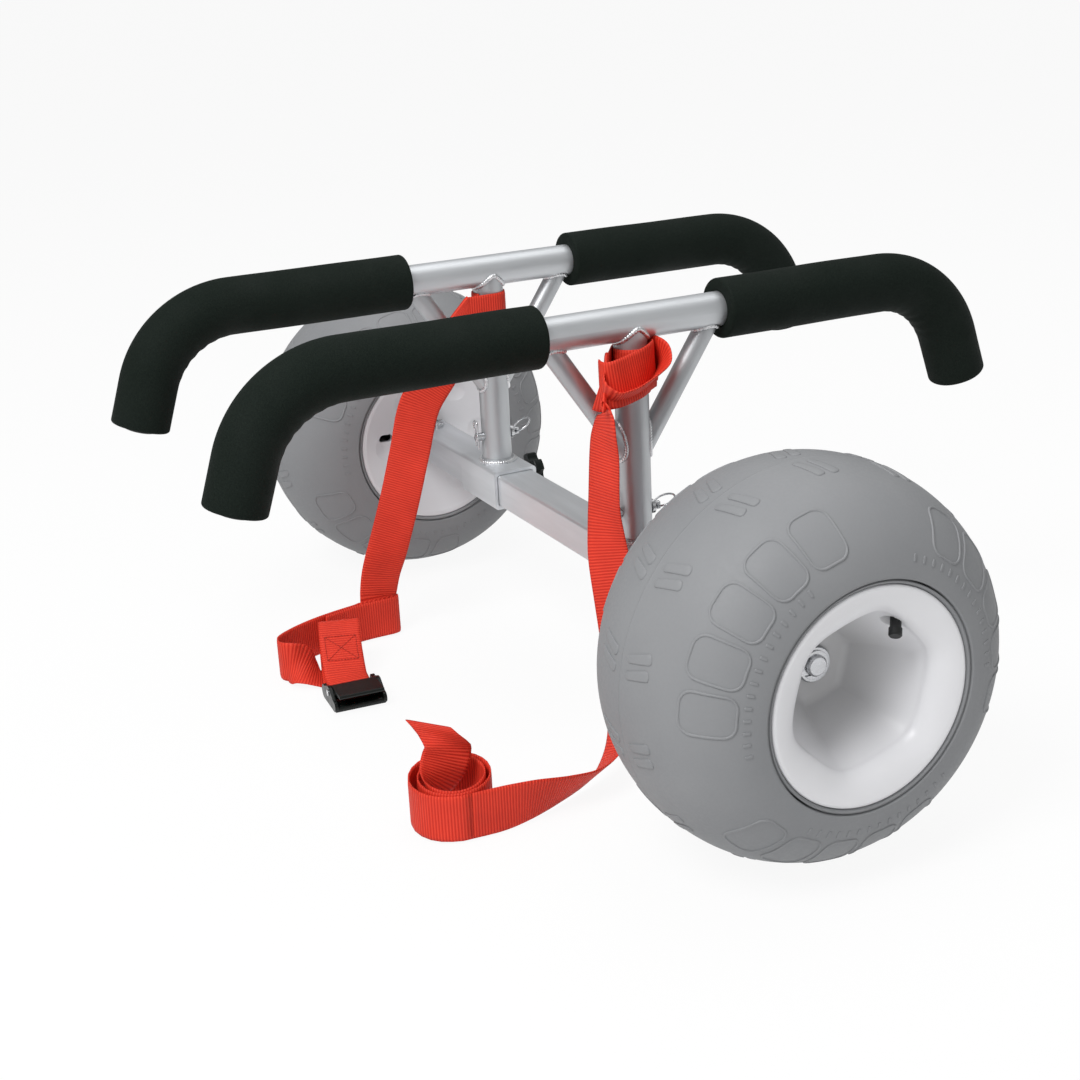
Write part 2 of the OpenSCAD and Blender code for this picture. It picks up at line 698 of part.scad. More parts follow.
module bunk_tube() {
  bore_r = bunk_r - bunk_wall;
  color(aluminium) at_bunk() translate([0, 0, bunk_z]) {
    translate([0, -bunk_straight, 0]) rotate([-90, 0, 0])
      linear_extrude(2 * bunk_straight) ring_section(bunk_r, bore_r);
    both_ends() bend_pipe(bunk_r, bore_r);
    both_ends() at_bend_end() linear_extrude(bunk_tail) ring_section(bunk_r, bore_r);
  }
}

module post() {
  color(aluminium) at_bunk() difference() {
    translate([0, 0, post_bottom]) cylinder(h = bunk_z - post_bottom, r = post_r);
    translate([0, 0, post_bottom - 1])
      cylinder(h = bunk_z - post_bottom, r = post_r - post_wall);
    translate([0, 0, bunk_z]) along_y(-2 * post_r, 2 * post_r, bunk_r);
    translate([0, 0, pin_z]) rotate([90, 0, 0])
      cylinder(h = 4 * post_r, d = post_pin_d + 2 * pin_fit, center = true);
  }
}

// Round bar on a brace's axis, run on past both ends by ext
module brace_rod(r, ext) {
  len = sqrt(brace_drop * brace_drop + brace_reach * brace_reach);
  translate([0, 0, bunk_z - brace_drop]) rotate([-brace_tilt, 0, 0])
    translate([0, 0, -ext]) cylinder(h = len + 2 * ext, r = r);
}

module braces() {
  color(aluminium) at_bunk() both_ends() difference() {
    brace_rod(brace_r, 0);
    brace_rod(brace_r - brace_wall, 1);
    cylinder(h = bunk_z, r = post_r);
    translate([0, 0, bunk_z]) along_y(-1, bunk_straight, bunk_r);
  }
}

// Weld beads fill the corner where two tubes meet
module weld_beads() {
  color(aluminium) at_bunk() {
    difference() {
      intersection() {
        translate([0, 0, bunk_z - 2 * bunk_r]) cylinder(h = 2 * bunk_r, r = post_r + bead);
        translate([0, 0, bunk_z]) along_y(-2 * post_r, 2 * post_r, bunk_r + bead);
      }
      translate([0, 0, bunk_z - 3 * bunk_r]) cylinder(h = 4 * bunk_r, r = post_r);
      translate([0, 0, bunk_z]) along_y(-3 * post_r, 3 * post_r, bunk_r);
    }
    both_ends() difference() {
      intersection() {
        brace_rod(brace_r + bead, 0);
        translate([0, 0, bunk_z]) along_y(post_r, foam_start, bunk_r + bead);
      }
      brace_rod(brace_r, 3);
      translate([0, 0, bunk_z]) along_y(0, 2 * foam_start, bunk_r);
    }
    both_ends() difference() {
      intersection() {
        brace_rod(brace_r + bead, 0);
        cylinder(h = bunk_z, r = post_r + bead);
      }
      brace_rod(brace_r, 3);
      cylinder(h = bunk_z + post_r, r = post_r);
    }
  }
}

module foam_rod() {
  bore_r = bunk_r + foam_fit;
  rr = foam_round;
  translate([0, foam_start, 0]) rotate([-90, 0, 0]) rotate_extrude()
    polygon(concat([[bore_r, 0]], arc(foam_r - rr, rr, rr, -90, 0, 6), [[bore_r, rr]]));
  bent_pipe(foam_start + rr, foam_r, bore_r, bunk_tail - rr);
  at_bend_end() translate([0, 0, bunk_tail - rr]) rotate_extrude()
    polygon(concat([[bore_r, 0]], arc(foam_r - rr, 0, rr, 0, 90, 6), [[bore_r, rr]]));
}

module rear_foam() { color(black) at_bunk() translate([0, 0, bunk_z]) foam_rod(); }
module front_foam() {
  color(black) at_bunk() translate([0, 0, bunk_z]) mirror([0, 1, 0]) foam_rod();
}

module end_caps() {
  plug_r = bunk_r - bunk_wall;
  color(black) at_bunk() translate([0, 0, bunk_z]) both_ends() at_bend_end() {
    translate([0, 0, bunk_tail - cap_depth]) cylinder(h = cap_depth, r = plug_r);
    translate([0, 0, bunk_tail]) rotate_extrude() polygon(concat([[0, 0]],
      arc(bunk_r - cap_flange, 0, cap_flange, 0, 90, 6), [[0, cap_flange]]));
  }
}

// Wheel, drawn with its axle along local Z, outward positive
function tyre_point(t, rise, hw) = let (e = 2 / tyre_fullness)
  [tyre_wide_r + rise * pow(sin(t), e), hw * sign(cos(t)) * pow(abs(cos(t)), e)];

// Bead of the tyre on one side, from its toe to the lip of the flange
function tyre_side(drop) = let (bore = barrel_r + tyre_fit, seat = flange_back_z - tyre_fit,
  lip = flange_r + tyre_fit)
  [[bore, seat - drop - tyre_bead], [bore, seat - drop], [lip - 1, seat],
    [lip, seat + 1], [lip + 0.6, lip_z]];

function flipped(pts) = [for (i = [len(pts) - 1:-1:0]) [pts[i][0], -pts[i][1]]];

module tyre() {
  rise = tyre_d / 2 - tyre_wide_r;
  steps = 44;
  t0 = 6;
  outer = [for (i = [0:steps]) tyre_point(t0 + (180 - 2 * t0) * i / steps, rise, half_w)];
  inner_t0 = 16;
  inner = [for (i = [0:steps]) tyre_point(180 - inner_t0 - (180 - 2 * inner_t0) * i / steps,
    rise - tyre_wall, half_w - tyre_wall)];
  toe_r = tyre_wide_r - 4;
  toe_out = flange_back_z - outer_seat_drop - tyre_bead + 2;
  toe_in = flange_back_z - inner_seat_drop - tyre_bead + 4;
  color(grey) at_wheel() rotate_extrude($fn = 128) polygon(concat(
    tyre_side(outer_seat_drop), outer, flipped(tyre_side(inner_seat_drop)),
    [[toe_r, -toe_in]], inner, [[toe_r, toe_out]]));
}

// Six-flat funnel of the outer hub's cavity, grown outward by g for its shell
module cavity(g) {
  slope = atan2(mouth_r - cavity_r, cavity_h);
  floor_r = cavity_r + g;
  top_r = mouth_r + g;
  flat_floor = cavity_r - flat_cut + g;
  flat_top = mouth_r - flat_cut_mouth + g;
  flat_slope = atan2(flat_top - flat_floor, cavity_h);
  translate([0, 0, cavity_floor - g]) intersection() {
    union() {
      cylinder(h = cavity_h + g, r1 = floor_r - g * sin(slope), r2 = top_r);
      translate([0, 0, cavity_h + g - nudge]) cylinder(h = mouth_drop + 1, r = top_r);
    }
    for_flats() translate([flat_floor, -big / 2, 0]) rotate([0, flat_slope, 0])
      translate([-big, 0, -big / 2]) cube([big, big, big]);
  }
}

// Intersection of one half space per flat
module for_flats() {
  intersection() {
    turned(0) children();
    turned(1) children();
    turned(2) children();
    turned(3) children();
    turned(4) children();
    turned(5) children();
  }
}

module turned(i) { rotate(i * 360 / cavity_flats + 30) children(); }

module outer_flange() {
  back = flange_back_z;
  polygon(concat(
    [[barrel_r - hub_wall, 0], [barrel_r, 0], [barrel_r, back - outer_seat_drop],
      [flange_r - 1, back]],
    arc(flange_r - lip_t / 2, lip_z - lip_t / 2, lip_t / 2, -60, 60, 6),
    arc(crest_r, crest_z - mouth_drop, mouth_drop, 80, 110, 4),
    arc(mouth_r + mouth_drop, mouth_z, mouth_drop, 118, 180, 8),
    [[mouth_r, mouth_z - 2]]));
}

module outer_hub() {
  color(white) at_wheel() difference() {
    union() {
      rotate_extrude($fn = 128) outer_flange();
      intersection() {
        cavity(hub_wall);
        cylinder(h = mouth_z, r = barrel_r - nudge);
      }
      cylinder(h = cavity_floor, r = boss_r);
      bolt_posts(0, cavity_floor);
    }
    cavity(0);
    translate([0, 0, -1]) cylinder(h = cavity_floor + 2, d = bush_d);
    at_bolts() translate([0, 0, -1]) cylinder(h = cavity_floor - 4, d = bolt_d);
    at_valve() cylinder(h = barrel_r, d = valve_hole_d, center = true);
  }
}

module at_bolts() {
  for (i = [1:bolts]) rotate(180 - bolt_turn + i * 360 / bolts)
    translate([bolt_circle_r, 0, 0]) children();
}

module bolt_posts(z0, z1) {
  at_bolts() translate([0, 0, z0]) cylinder(h = z1 - z0, r = bolt_post_r);
}

// Local +Z of a child points from the hub wall towards the axle
module at_valve() {
  rotate(180 - valve_turn) translate([mouth_r, 0, valve_z]) rotate([0, -90, 0]) children();
}

module inner_hub() {
  seat = flange_back_z - inner_seat_drop;
  under_z = dish_at(barrel_r - hub_wall) - dish_wall;
  color(white) at_wheel() mirror([0, 0, 1]) difference() {
    union() {
      rotate_extrude($fn = 128) polygon(concat(
        [[barrel_r - hub_wall, 0], [barrel_r, 0], [barrel_r, seat], [flange_r - 1, flange_back_z]],
        arc(flange_r - lip_t / 2, lip_z - lip_t / 2, lip_t / 2, -60, 90, 8),
        [[dish_edge_r + 3, lip_z - 0.5], [dish_edge_r, dish_floor + dish_rise],
          [dish_r, dish_floor], [0, dish_floor], [0, dish_floor - dish_wall],
          [dish_r, dish_floor - dish_wall], [barrel_r - hub_wall, under_z]]));
      cylinder(h = dish_floor - 1, r = boss_r);
      bolt_posts(0, dish_floor);
    }
    for (i = [1:hollows]) rotate((i + 0.5) * 360 / hollows) translate([hollow_r, 0, hollow_z()])
      rotate([0, -dish_slope, 0]) translate([0, 0, hollow_ball - hollow_depth])
        sphere(hollow_ball);
    translate([0, 0, -1]) cylinder(h = dish_floor + 2, d = bush_d);
    at_bolts() translate([0, 0, -1]) cylinder(h = bolt_seat_z() + 2, d = bolt_d + 0.4);
    at_bolts() translate([0, 0, bolt_seat_z()]) cylinder(h = dish_floor, d = bolt_head_d + 1.6);
    rotate(slot_turn) translate([slot_r, 0, dish_floor / 2]) linear_extrude(dish_floor)
      slot_outline();
  }
}

module slot_outline() {
  square([slot_len - slot_w, slot_w], center = true);
  for (s = [-1, 1]) translate([s * (slot_len - slot_w) / 2, 0]) circle(d = slot_w);
}

function dish_at(r) = dish_floor + dish_rise * (r - dish_r) / (dish_edge_r - dish_r);
function hollow_z() = dish_at(hollow_r);
function bolt_seat_z() = dish_at(bolt_circle_r) - 2;

module hub_bolts() {
  color(black) at_wheel() mirror([0, 0, 1]) at_bolts() {
    translate([0, 0, -cavity_floor + 6])
      cylinder(h = cavity_floor - 6 + bolt_seat_z() + 1, d = bolt_d);
    translate([0, 0, bolt_seat_z()]) difference() {
      union() {
        cylinder(h = bolt_head_h - 1, d = bolt_head_d);
        translate([0, 0, bolt_head_h - 1])
          cylinder(h = 1, d1 = bolt_head_d, d2 = bolt_head_d - 2);
      }
      translate([0, 0, 2]) cylinder(h = bolt_head_h, d = bolt_d - 1);
    }
  }
}

module hub_bushes() {
  color(grey) at_wheel() {
    bush(cavity_floor);
    mirror([0, 0, 1]) bush(dish_floor);
  }
}

module bush(seat) {
  difference() {
    union() {
      translate([0, 0, seat - bush_len]) cylinder(h = bush_len + nudge, d = bush_d);
      translate([0, 0, seat]) cylinder(h = bush_flange_t, d = bush_flange_d);
    }
    translate([0, 0, seat - bush_len - 1])
      cylinder(h = bush_len + bush_flange_t + 2, d = stub_d + 2 * bush_fit);
  }
}

module valve() {
  color(black) at_wheel() at_valve() {
    translate([0, 0, -hub_wall]) cylinder(h = hub_wall + 3, d = valve_foot_d);
    rotate([0, valve_lean, 0]) {
      cylinder(h = valve_len - 6, d = valve_d);
      translate([0, 0, valve_len - 6]) cylinder(h = 5, d = valve_d + 1.6);
      translate([0, 0, valve_len - 1]) cylinder(h = 1, d1 = valve_d + 1.6, d2 = valve_d);
    }
  }
}

// Webbing: each section is [middle, half width, normal]
function unit(v) = v / norm(v);
function spline(a, b, c, d, t) = 0.5 * ((2 * b) + (c - a) * t
  + (2 * a - 5 * b + 4 * c - d) * t * t + (3 * b - a - 3 * c + d) * t * t * t);
function slope_of(a, b, c, d, t) = 0.5 * ((c - a) + 2 * (2 * a - 5 * b + 4 * c - d) * t
  + 3 * (3 * b - a - 3 * c + d) * t * t);
function xyz(v) = [v[0], v[1], v[2]];
function width_dir(v) = [v[3], v[4], v[5]];
function section(mid, along, across) = let (t = unit(along),
  w = unit(across - (across * t) * t)) [mid, w * web_w / 2, cross(t, w)];

// Smooth band through rows of middle and width direction
function band(rows, steps) = let (n = len(rows) - 1) [for (i = [0:n - 1])
  for (k = [0:(i == n - 1 ? steps : steps - 1)])
    let (a = rows[max(i - 1, 0)], b = rows[i], c = rows[i + 1], d = rows[min(i + 2, n)],
      v = spline(a, b, c, d, k / steps), g = slope_of(a, b, c, d, k / steps))
    section(xyz(v), xyz(g), width_dir(v))];

// Diagonal fold at p: the band runs along t, its width is w, and it turns to side * w
function fold(p, t, w, side, lift) = let (half = (w + side * t) * web_w / 2,
  out = (t - side * w) / sqrt(2), n = cross(t, w))
  [[p, half, n], [p + out * fold_gap / 2 + lift * fold_gap / 2, half, cross(lift, unit(half))],
    [p + lift * fold_gap, half, -n]];

// Wrap round a post from angle a0 through sweep, with width direction w
function wrap(at, a0, sweep, w) = let (n = ceil(abs(sweep) / 15), s = sign(sweep)) [for (i = [0:n])
  let (a = a0 + sweep * i / n)
    section([at[0] + wrap_r * cos(a), at[1] + wrap_r * sin(a), wrap_z],
      [-s * sin(a), s * cos(a), 0], w)];

function spiral(turns) = let (n = ceil(turns * 24)) [for (i = [0:n])
  let (a = -360 * turns * i / n, r = coil_r + coil_step * a / 360)
    section([coil_at[0] + r * cos(a), coil_at[1] + r * sin(a), web_mid],
      [sin(a), -cos(a), 0], [0, 0, 1])];

// The free end climbs out of the roll
function coil_tail(turns) = let (sweep = coil_tail_sweep, n = 10, step = coil_step * sweep / 360,
  r0 = coil_r - coil_step * turns)
  [for (i = [1:n]) let (u = i / n, a = -360 * turns - sweep * u,
    r = r0 - step * u - coil_tail_in * u * u * (3 - 2 * u), rate = 2 * coil_tail_rise * u,
    speed = r * sweep * PI / 180, inward = 6 * coil_tail_in * u * (1 - u) + step)
    section([coil_at[0] + r * cos(a), coil_at[1] + r * sin(a), web_mid + coil_tail_rise * u * u],
      [sin(a) * speed - cos(a) * inward, -cos(a) * speed - sin(a) * inward, rate], [0, 0, 1])];

module webbing(secs) {
  n = len(secs);
  pts = [for (s = secs) for (k = [[1, 1], [-1, 1], [-1, -1], [1, -1]])
    s[0] + k[0] * s[1] + k[1] * s[2] * web_t / 2];
  walls = [for (i = [0:n - 2]) for (k = [0:3]) let (a = 4 * i + k, b = 4 * i + (k + 1) % 4)
    for (f = [[a, b, b + 4], [a, b + 4, a + 4]]) f];
  e = 4 * (n - 1);
  polyhedron(points = pts, faces = concat([[0, 2, 1], [0, 3, 2]], walls,
    [[e, e + 1, e + 2], [e, e + 2, e + 3]]), convexity = 6);
}

function right_strap_sections() = let (z = [0, 0, 1], a = right_leave,
  t = [-sin(a), cos(a), 0], out = [cos(a), sin(a), 0],
  p = [bunk_x, 0, wrap_z] + out * wrap_r + t * right_run)
  concat(wrap([bunk_x, 0], a - right_wrap, right_wrap, z),
    [section(p - t * (web_w / 2 + 0.8), t, z)],
    fold(p, t, z, -1, out),
    band(concat([concat(p + out * fold_gap - z * (web_w / 2 + 1), -t)], right_hang,
      [[coil_at[0] + coil_r, coil_at[1], web_mid, 0, 0, -1]]), 5));

function coil_sections() = let (tail = coil_tail(coil_turns), last = tail[len(tail) - 1],
  up = unit(cross(last[1], last[2])))
  concat(spiral(coil_turns), tail, [[last[0] + up * 14 + [-3, 0, 0], last[1], last[2]]]);

function left_strap_sections() = let (z = [0, 0, 1], y = [0, 1, 0],
  p = [left_fold[0], left_fold[1], wrap_z], q = [left_floor_fold[0], left_floor_fold[1], web_mid + crease_rise],
  f = left_flat_fold, t = [sin(flat_turn), cos(flat_turn), 0], w = [-cos(flat_turn), sin(flat_turn), 0])
  concat(wrap([-bunk_x, 0], 300, -300, z),
    [section(p + [0, web_w / 2 + 0.8, 0], -y, z)],
    fold(p, -y, z, -1, [-1, 0, 0]),
    band(left_hang, 5),
    fold(q, -z, y, -1, [1, 0, 0]),
    [section(q + [fold_gap, -web_w / 2 - 1, 0], -y, z)],
    band(left_loop, 5),
    [section(f - t * (web_w / 2 + 0.8), t, w)],
    fold(f, t, w, 1, z),
    [section(f + w * (web_w / 2 + 0.8) + z * fold_gap, w, t)],
    band(left_end, 5));

// Least gap between stretches of the roll that lie a turn apart
roll = spiral(coil_turns);
roll_gap = min([for (i = [0:len(roll) - 1]) for (j = [i + 12:1:len(roll) - 1])
  norm(roll[i][0] - roll[j][0])]) - web_t;
echo(least_gap_in_the_roll = roll_gap);

module left_strap() { color(orange) webbing(left_strap_sections()); }
module right_strap() { color(orange) webbing(right_strap_sections()); }
module right_strap_coil() { color(orange) webbing(coil_sections()); }

// Cam buckle, drawn with its strap bar along local Y at the origin of X
module at_buckle() {
  translate([buckle_at[0], buckle_at[1], 0]) rotate(buckle_turn) children();
}

cam_pin_z = floor_gap + buckle_base_t + 9;
cam_r = cam_pin_z - floor_gap - buckle_base_t - cam_nose_gap;

module across(w, d) {
  translate([0, -w / 2, 0]) rotate([-90, 0, 0]) cylinder(h = w, d = d);
}

module cheek_outline() {
  difference() {
    union() {
      translate([0, strap_bar_z]) circle(d = 2 * (strap_bar_z - floor_gap));
      translate([0, floor_gap]) square([buckle_len - 4, 9]);
      translate([cam_pin_u, cam_pin_z]) circle(r = cheek_h + floor_gap - cam_pin_z);
      translate([buckle_len - 5, floor_gap + 5]) circle(r = 5);
      polygon([[2, 2 * strap_bar_z - floor_gap - 0.4], [cam_pin_u - 3, cheek_h],
        [cam_pin_u + 3, cheek_h], [buckle_len - 4, 9], [2, 5]]);
    }
    translate([-big / 2, floor_gap - big]) square([big, big]);
  }
}

module buckle_frame() {
  out_w = buckle_in_w + 2 * cheek_t;
  color(black) at_buckle() difference() {
    union() {
      for (s = [-1, 1]) translate([0, s * (buckle_in_w + cheek_t) / 2 + cheek_t / 2, 0])
        rotate([90, 0, 0]) linear_extrude(cheek_t) cheek_outline();
      translate([7, -out_w / 2 + 1, floor_gap]) cube([buckle_len - 9, out_w - 2, buckle_base_t]);
      translate([0, 0, strap_bar_z]) across(out_w - 1, strap_bar_d);
      translate([buckle_len - 4, 0, floor_gap + 2.6]) across(out_w - 1, 5.2);
    }
    translate([cam_pin_u, 0, cam_pin_z]) across(out_w + 2, cam_pin_d);
    // Ribs of the base plate grip the strap
    for (i = [0:3]) translate([11 + 3 * i, -buckle_in_w / 2, floor_gap + buckle_base_t - 0.6])
      cube([1.5, buckle_in_w, 1]);
  }
}

module buckle_cam() {
  w = buckle_in_w - 2 * cam_side_gap;
  tip = buckle_len + 6;
  color(black) at_buckle() translate([cam_pin_u, w / 2, cam_pin_z]) rotate([90, 0, 0])
    linear_extrude(w) difference() {
      union() {
        circle(r = cam_r - 2);
        // Toothed nose over the base plate, lower towards the back so that lifting frees it
        for (i = [0:cam_teeth - 1]) let (r = cam_r - 0.5 * i) rotate(-90 - i * 15)
          polygon([[r - 4, -1.5], [r, 0], [r - 4, 1.5]]);
        // Thumb plate
        translate([0, cam_r - 2 - thumb_t]) square([tip - cam_pin_u - 2, thumb_t]);
        translate([tip - cam_pin_u - 2, cam_r - 2 - thumb_t / 2]) circle(d = thumb_t + 0.6);
      }
      circle(d = cam_pin_d + 2 * cam_fit);
    }
}

module buckle_pin() {
  out_w = buckle_in_w + 2 * cheek_t;
  color(steel) at_buckle() translate([cam_pin_u, 0, cam_pin_z]) {
    across(out_w, cam_pin_d);
    for (s = [-1, 1]) translate([0, s * (out_w / 2 + 0.5), 0]) across(1, cam_pin_d + 2);
  }
}

axle_tube();
left_hand() axle_insert();  // left_axle_insert
axle_insert();  // right_axle_insert
left_hand() stub_axle();  // left_stub_axle
stub_axle();  // right_stub_axle
left_hand() axle_hardware();  // left_axle_hardware
axle_hardware();  // right_axle_hardware
left_hand() wheel_pin();  // left_wheel_pin
wheel_pin();  // right_wheel_pin
left_hand() wheel_pin_ring();  // left_wheel_pin_ring
wheel_pin_ring();  // right_wheel_pin_ring
left_hand() sleeve();  // left_sleeve
sleeve();  // right_sleeve
left_hand() post_spigot();  // left_post_spigot
post_spigot();  // right_post_spigot
left_hand() post();  // left_post
post();  // right_post
left_hand() bunk_tube();  // left_bunk_tube
bunk_tube();  // right_bunk_tube
left_hand() braces();  // left_braces
braces();  // right_braces
left_hand() front_foam();  // left_front_foam
front_foam();  // right_front_foam
left_hand() rear_foam();  // left_rear_foam
rear_foam();  // right_rear_foam
left_hand() end_caps();  // left_end_caps
end_caps();  // right_end_caps
left_hand() weld_beads();  // left_weld_beads
weld_beads();  // right_weld_beads
left_hand() post_pin(left_clip_lean);  // left_post_pin
post_pin(right_clip_lean);  // right_post_pin
left_hand() post_pin_ring(35);  // left_post_pin_ring
post_pin_ring(20);  // right_post_pin_ring
left_hand() post_clip(left_clip_lean);  // left_post_clip
post_clip(right_clip_lean);  // right_post_clip
left_hand() clamp_nut();  // left_clamp_nut
clamp_nut();  // right_clamp_nut
left_hand() clamp_knob();  // left_clamp_knob
clamp_knob();  // right_clamp_knob
left_hand() tyre();  // left_tyre
tyre();  // right_tyre
left_hand() outer_hub();  // left_outer_hub
outer_hub();  // right_outer_hub
left_hand() inner_hub();  // left_inner_hub
inner_hub();  // right_inner_hub
left_hand() hub_bolts();  // left_hub_bolts
hub_bolts();  // right_hub_bolts
left_hand() hub_bushes();  // left_hub_bushes
hub_bushes();  // right_hub_bushes
left_hand() valve();  // left_valve
valve();  // right_valve
left_strap();
right_strap();
right_strap_coil();
buckle_frame();
buckle_cam();
buckle_pin();
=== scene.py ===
"""Looks of a two-wheel kayak cart: balloon tyres, white hubs, padded bunks and webbing.

Metres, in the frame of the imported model: X along the axle, Y along the bunks, Z up.
"""

import math

import bmesh
import bpy
import numpy as np
from mathutils import Matrix, Vector, noise


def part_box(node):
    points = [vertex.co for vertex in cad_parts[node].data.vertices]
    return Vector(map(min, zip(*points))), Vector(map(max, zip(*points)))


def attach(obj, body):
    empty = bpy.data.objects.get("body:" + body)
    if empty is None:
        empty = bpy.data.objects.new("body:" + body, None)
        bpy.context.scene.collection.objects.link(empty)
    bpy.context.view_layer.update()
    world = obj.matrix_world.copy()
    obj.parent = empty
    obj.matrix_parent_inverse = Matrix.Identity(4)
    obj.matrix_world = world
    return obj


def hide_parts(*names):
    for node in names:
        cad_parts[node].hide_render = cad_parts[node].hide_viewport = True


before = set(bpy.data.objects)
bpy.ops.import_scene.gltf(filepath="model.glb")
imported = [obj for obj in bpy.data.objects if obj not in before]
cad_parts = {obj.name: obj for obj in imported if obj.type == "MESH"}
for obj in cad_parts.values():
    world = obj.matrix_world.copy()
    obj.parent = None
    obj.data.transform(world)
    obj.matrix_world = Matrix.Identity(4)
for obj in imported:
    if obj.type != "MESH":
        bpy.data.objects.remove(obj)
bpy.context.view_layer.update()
scene = bpy.context.scene
SIDES = {"left": -1, "right": 1}
MM = 0.001

# Camera: where it stands, where it looks and its picture plane
CAMERA_AT = (1.3184, -0.6612, 0.6627)
CAMERA_AZIMUTH, CAMERA_ELEVATION, CAMERA_ROLL = 62.27, 19.13, -2.24
IMAGE = 1080
FOCAL_PIXELS = 1733.4
CENTRE_PIXELS = (54.0, -27.0)
SENSOR = 36.0

# Sizes shared by several pieces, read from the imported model
LOW, HIGH = {}, {}
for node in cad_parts:
    LOW[node], HIGH[node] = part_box(node)
TYRE_R = (HIGH["right_tyre"].z - LOW["right_tyre"].z) / 2
TYRE_HALF_W = (HIGH["right_tyre"].x - LOW["right_tyre"].x) / 2
TRACK_X = (HIGH["right_tyre"].x + LOW["right_tyre"].x) / 2
AXLE_Z = (HIGH["right_tyre"].z + LOW["right_tyre"].z) / 2
BUNK_X = (HIGH["right_sleeve"].x + LOW["right_sleeve"].x) / 2
SLEEVE_TOP = HIGH["right_sleeve"].z
POST_R = (HIGH["right_post"].x - LOW["right_post"].x) / 2
BUNK_R = (HIGH["right_bunk_tube"].x - LOW["right_bunk_tube"].x) / 2
BUNK_Z = HIGH["right_bunk_tube"].z - BUNK_R
FOAM_R = (HIGH["right_front_foam"].x - LOW["right_front_foam"].x) / 2


# Materials
def material(name, colour, rough, metallic=0.0):
    """A new material with its node tree and its shader."""
    m = bpy.data.materials.new(name)
    m.use_nodes = True
    bsdf = m.node_tree.nodes["Principled BSDF"]
    bsdf.inputs["Base Color"].default_value = (*colour, 1)
    bsdf.inputs["Roughness"].default_value = rough
    bsdf.inputs["Metallic"].default_value = metallic
    return m, m.node_tree, bsdf


def add(tree, kind, **values):
    """A new node, its values set on sockets or, where it has none so named, on itself."""
    n = tree.nodes.new(kind)
    for key, value in values.items():
        if key in n.inputs:
            n.inputs[key].default_value = value
        else:
            setattr(n, key, value)
    return n


def maths(tree, kind, a, *values):
    """Output of a maths node on an output and up to two numbers."""
    n = add(tree, "ShaderNodeMath", operation=kind)
    tree.links.new(a, n.inputs[0])
    for socket, value in zip(n.inputs[1:], values):
        socket.default_value = value
    return n.outputs[0]


def noise_node(tree, scale, detail=3.0, stretch=(1, 1, 1), rough=0.5):
    """Noise in the object's own coordinates; a small stretch draws it out along that axis."""
    where = add(tree, "ShaderNodeTexCoord")
    mapping = add(tree, "ShaderNodeMapping")
    mapping.inputs["Scale"].default_value = stretch
    n = add(tree, "ShaderNodeTexNoise", Scale=scale, Detail=detail, Roughness=rough)
    tree.links.new(where.outputs["Object"], mapping.inputs["Vector"])
    tree.links.new(mapping.outputs["Vector"], n.inputs["Vector"])
    return n.outputs["Fac"]


def ramp(tree, fac, low, high, a, b):
    """Maps fac from low..high to a..b, numbers or colours."""
    n = add(tree, "ShaderNodeValToRGB")
    for stop, at, value in zip(n.color_ramp.elements, (low, high), (a, b)):
        stop.position = at
        stop.color = (*(value if hasattr(value, "__len__") else (value,) * 3), 1)
    tree.links.new(fac, n.inputs["Fac"])
    return n.outputs["Color"]


def multiply(tree, a, b):
    """Product of two colour outputs."""
    n = add(tree, "ShaderNodeMix", data_type="RGBA", blend_type="MULTIPLY")
    n.inputs[0].default_value = 1.0
    tree.links.new(a, n.inputs[6])
    tree.links.new(b, n.inputs[7])
    return n.outputs[2]


def bump(tree, bsdf, layers, edge=0.0):
    """Bump layers of (height output, strength, distance), over rounded edges of radius edge."""
    normal = None
    if edge:
        normal = add(tree, "ShaderNodeBevel", Radius=edge, samples=6).outputs["Normal"]
    for height, strength, distance in layers:
        n = add(tree, "ShaderNodeBump", Strength=strength, Distance=distance)
        tree.links.new(height, n.inputs["Height"])
        if normal is not None:
            tree.links.new(normal, n.inputs["Normal"])
        normal = n.outputs["Normal"]
    if normal is not None:
        tree.links.new(normal, bsdf.inputs["Normal"])


def aluminium_painted_light(name, stretch, level):
    """Satin drawn tube with faint streaks along it; level is a painted light level that makes the
    tube lighter or darker by its direction.
    """
    tints = [tuple(level * tone * c for c in (0.94, 0.97, 1.0)) for tone in (0.88, 1.03)]
    m, t, b = material(name, tints[1], 0.48, 0.85)
    streak = noise_node(t, 60, 4, stretch)
    cloud = noise_node(t, 9, 3)
    t.links.new(ramp(t, streak, 0.3, 0.7, *tints), b.inputs["Base Color"])
    t.links.new(ramp(t, cloud, 0.3, 0.7, 0.42, 0.54), b.inputs["Roughness"])
    bump(t, b, [(streak, 0.10, 0.0004), (noise_node(t, 700, 2), 0.05, 0.0002)])
    return m


def plain_metal(name, colour, rough, metallic=1.0, grain=900, edge=0.0004, tone=0.85,
                specular=0.5):
    """Coated or bare metal, blotched down to tone times its colour."""
    m, t, b = material(name, colour, rough, metallic)
    b.inputs["Specular IOR Level"].default_value = specular
    spots = noise_node(t, 120, 4)
    dark = tuple(c * tone for c in colour)
    t.links.new(ramp(t, spots, 0.35, 0.65, dark, colour), b.inputs["Base Color"])
    dull = min(1, rough * 1.25)
    t.links.new(ramp(t, spots, 0.3, 0.7, rough * 0.8, dull), b.inputs["Roughness"])
    bump(t, b, [(noise_node(t, grain, 2), 0.12, 0.0003)], edge)
    return m


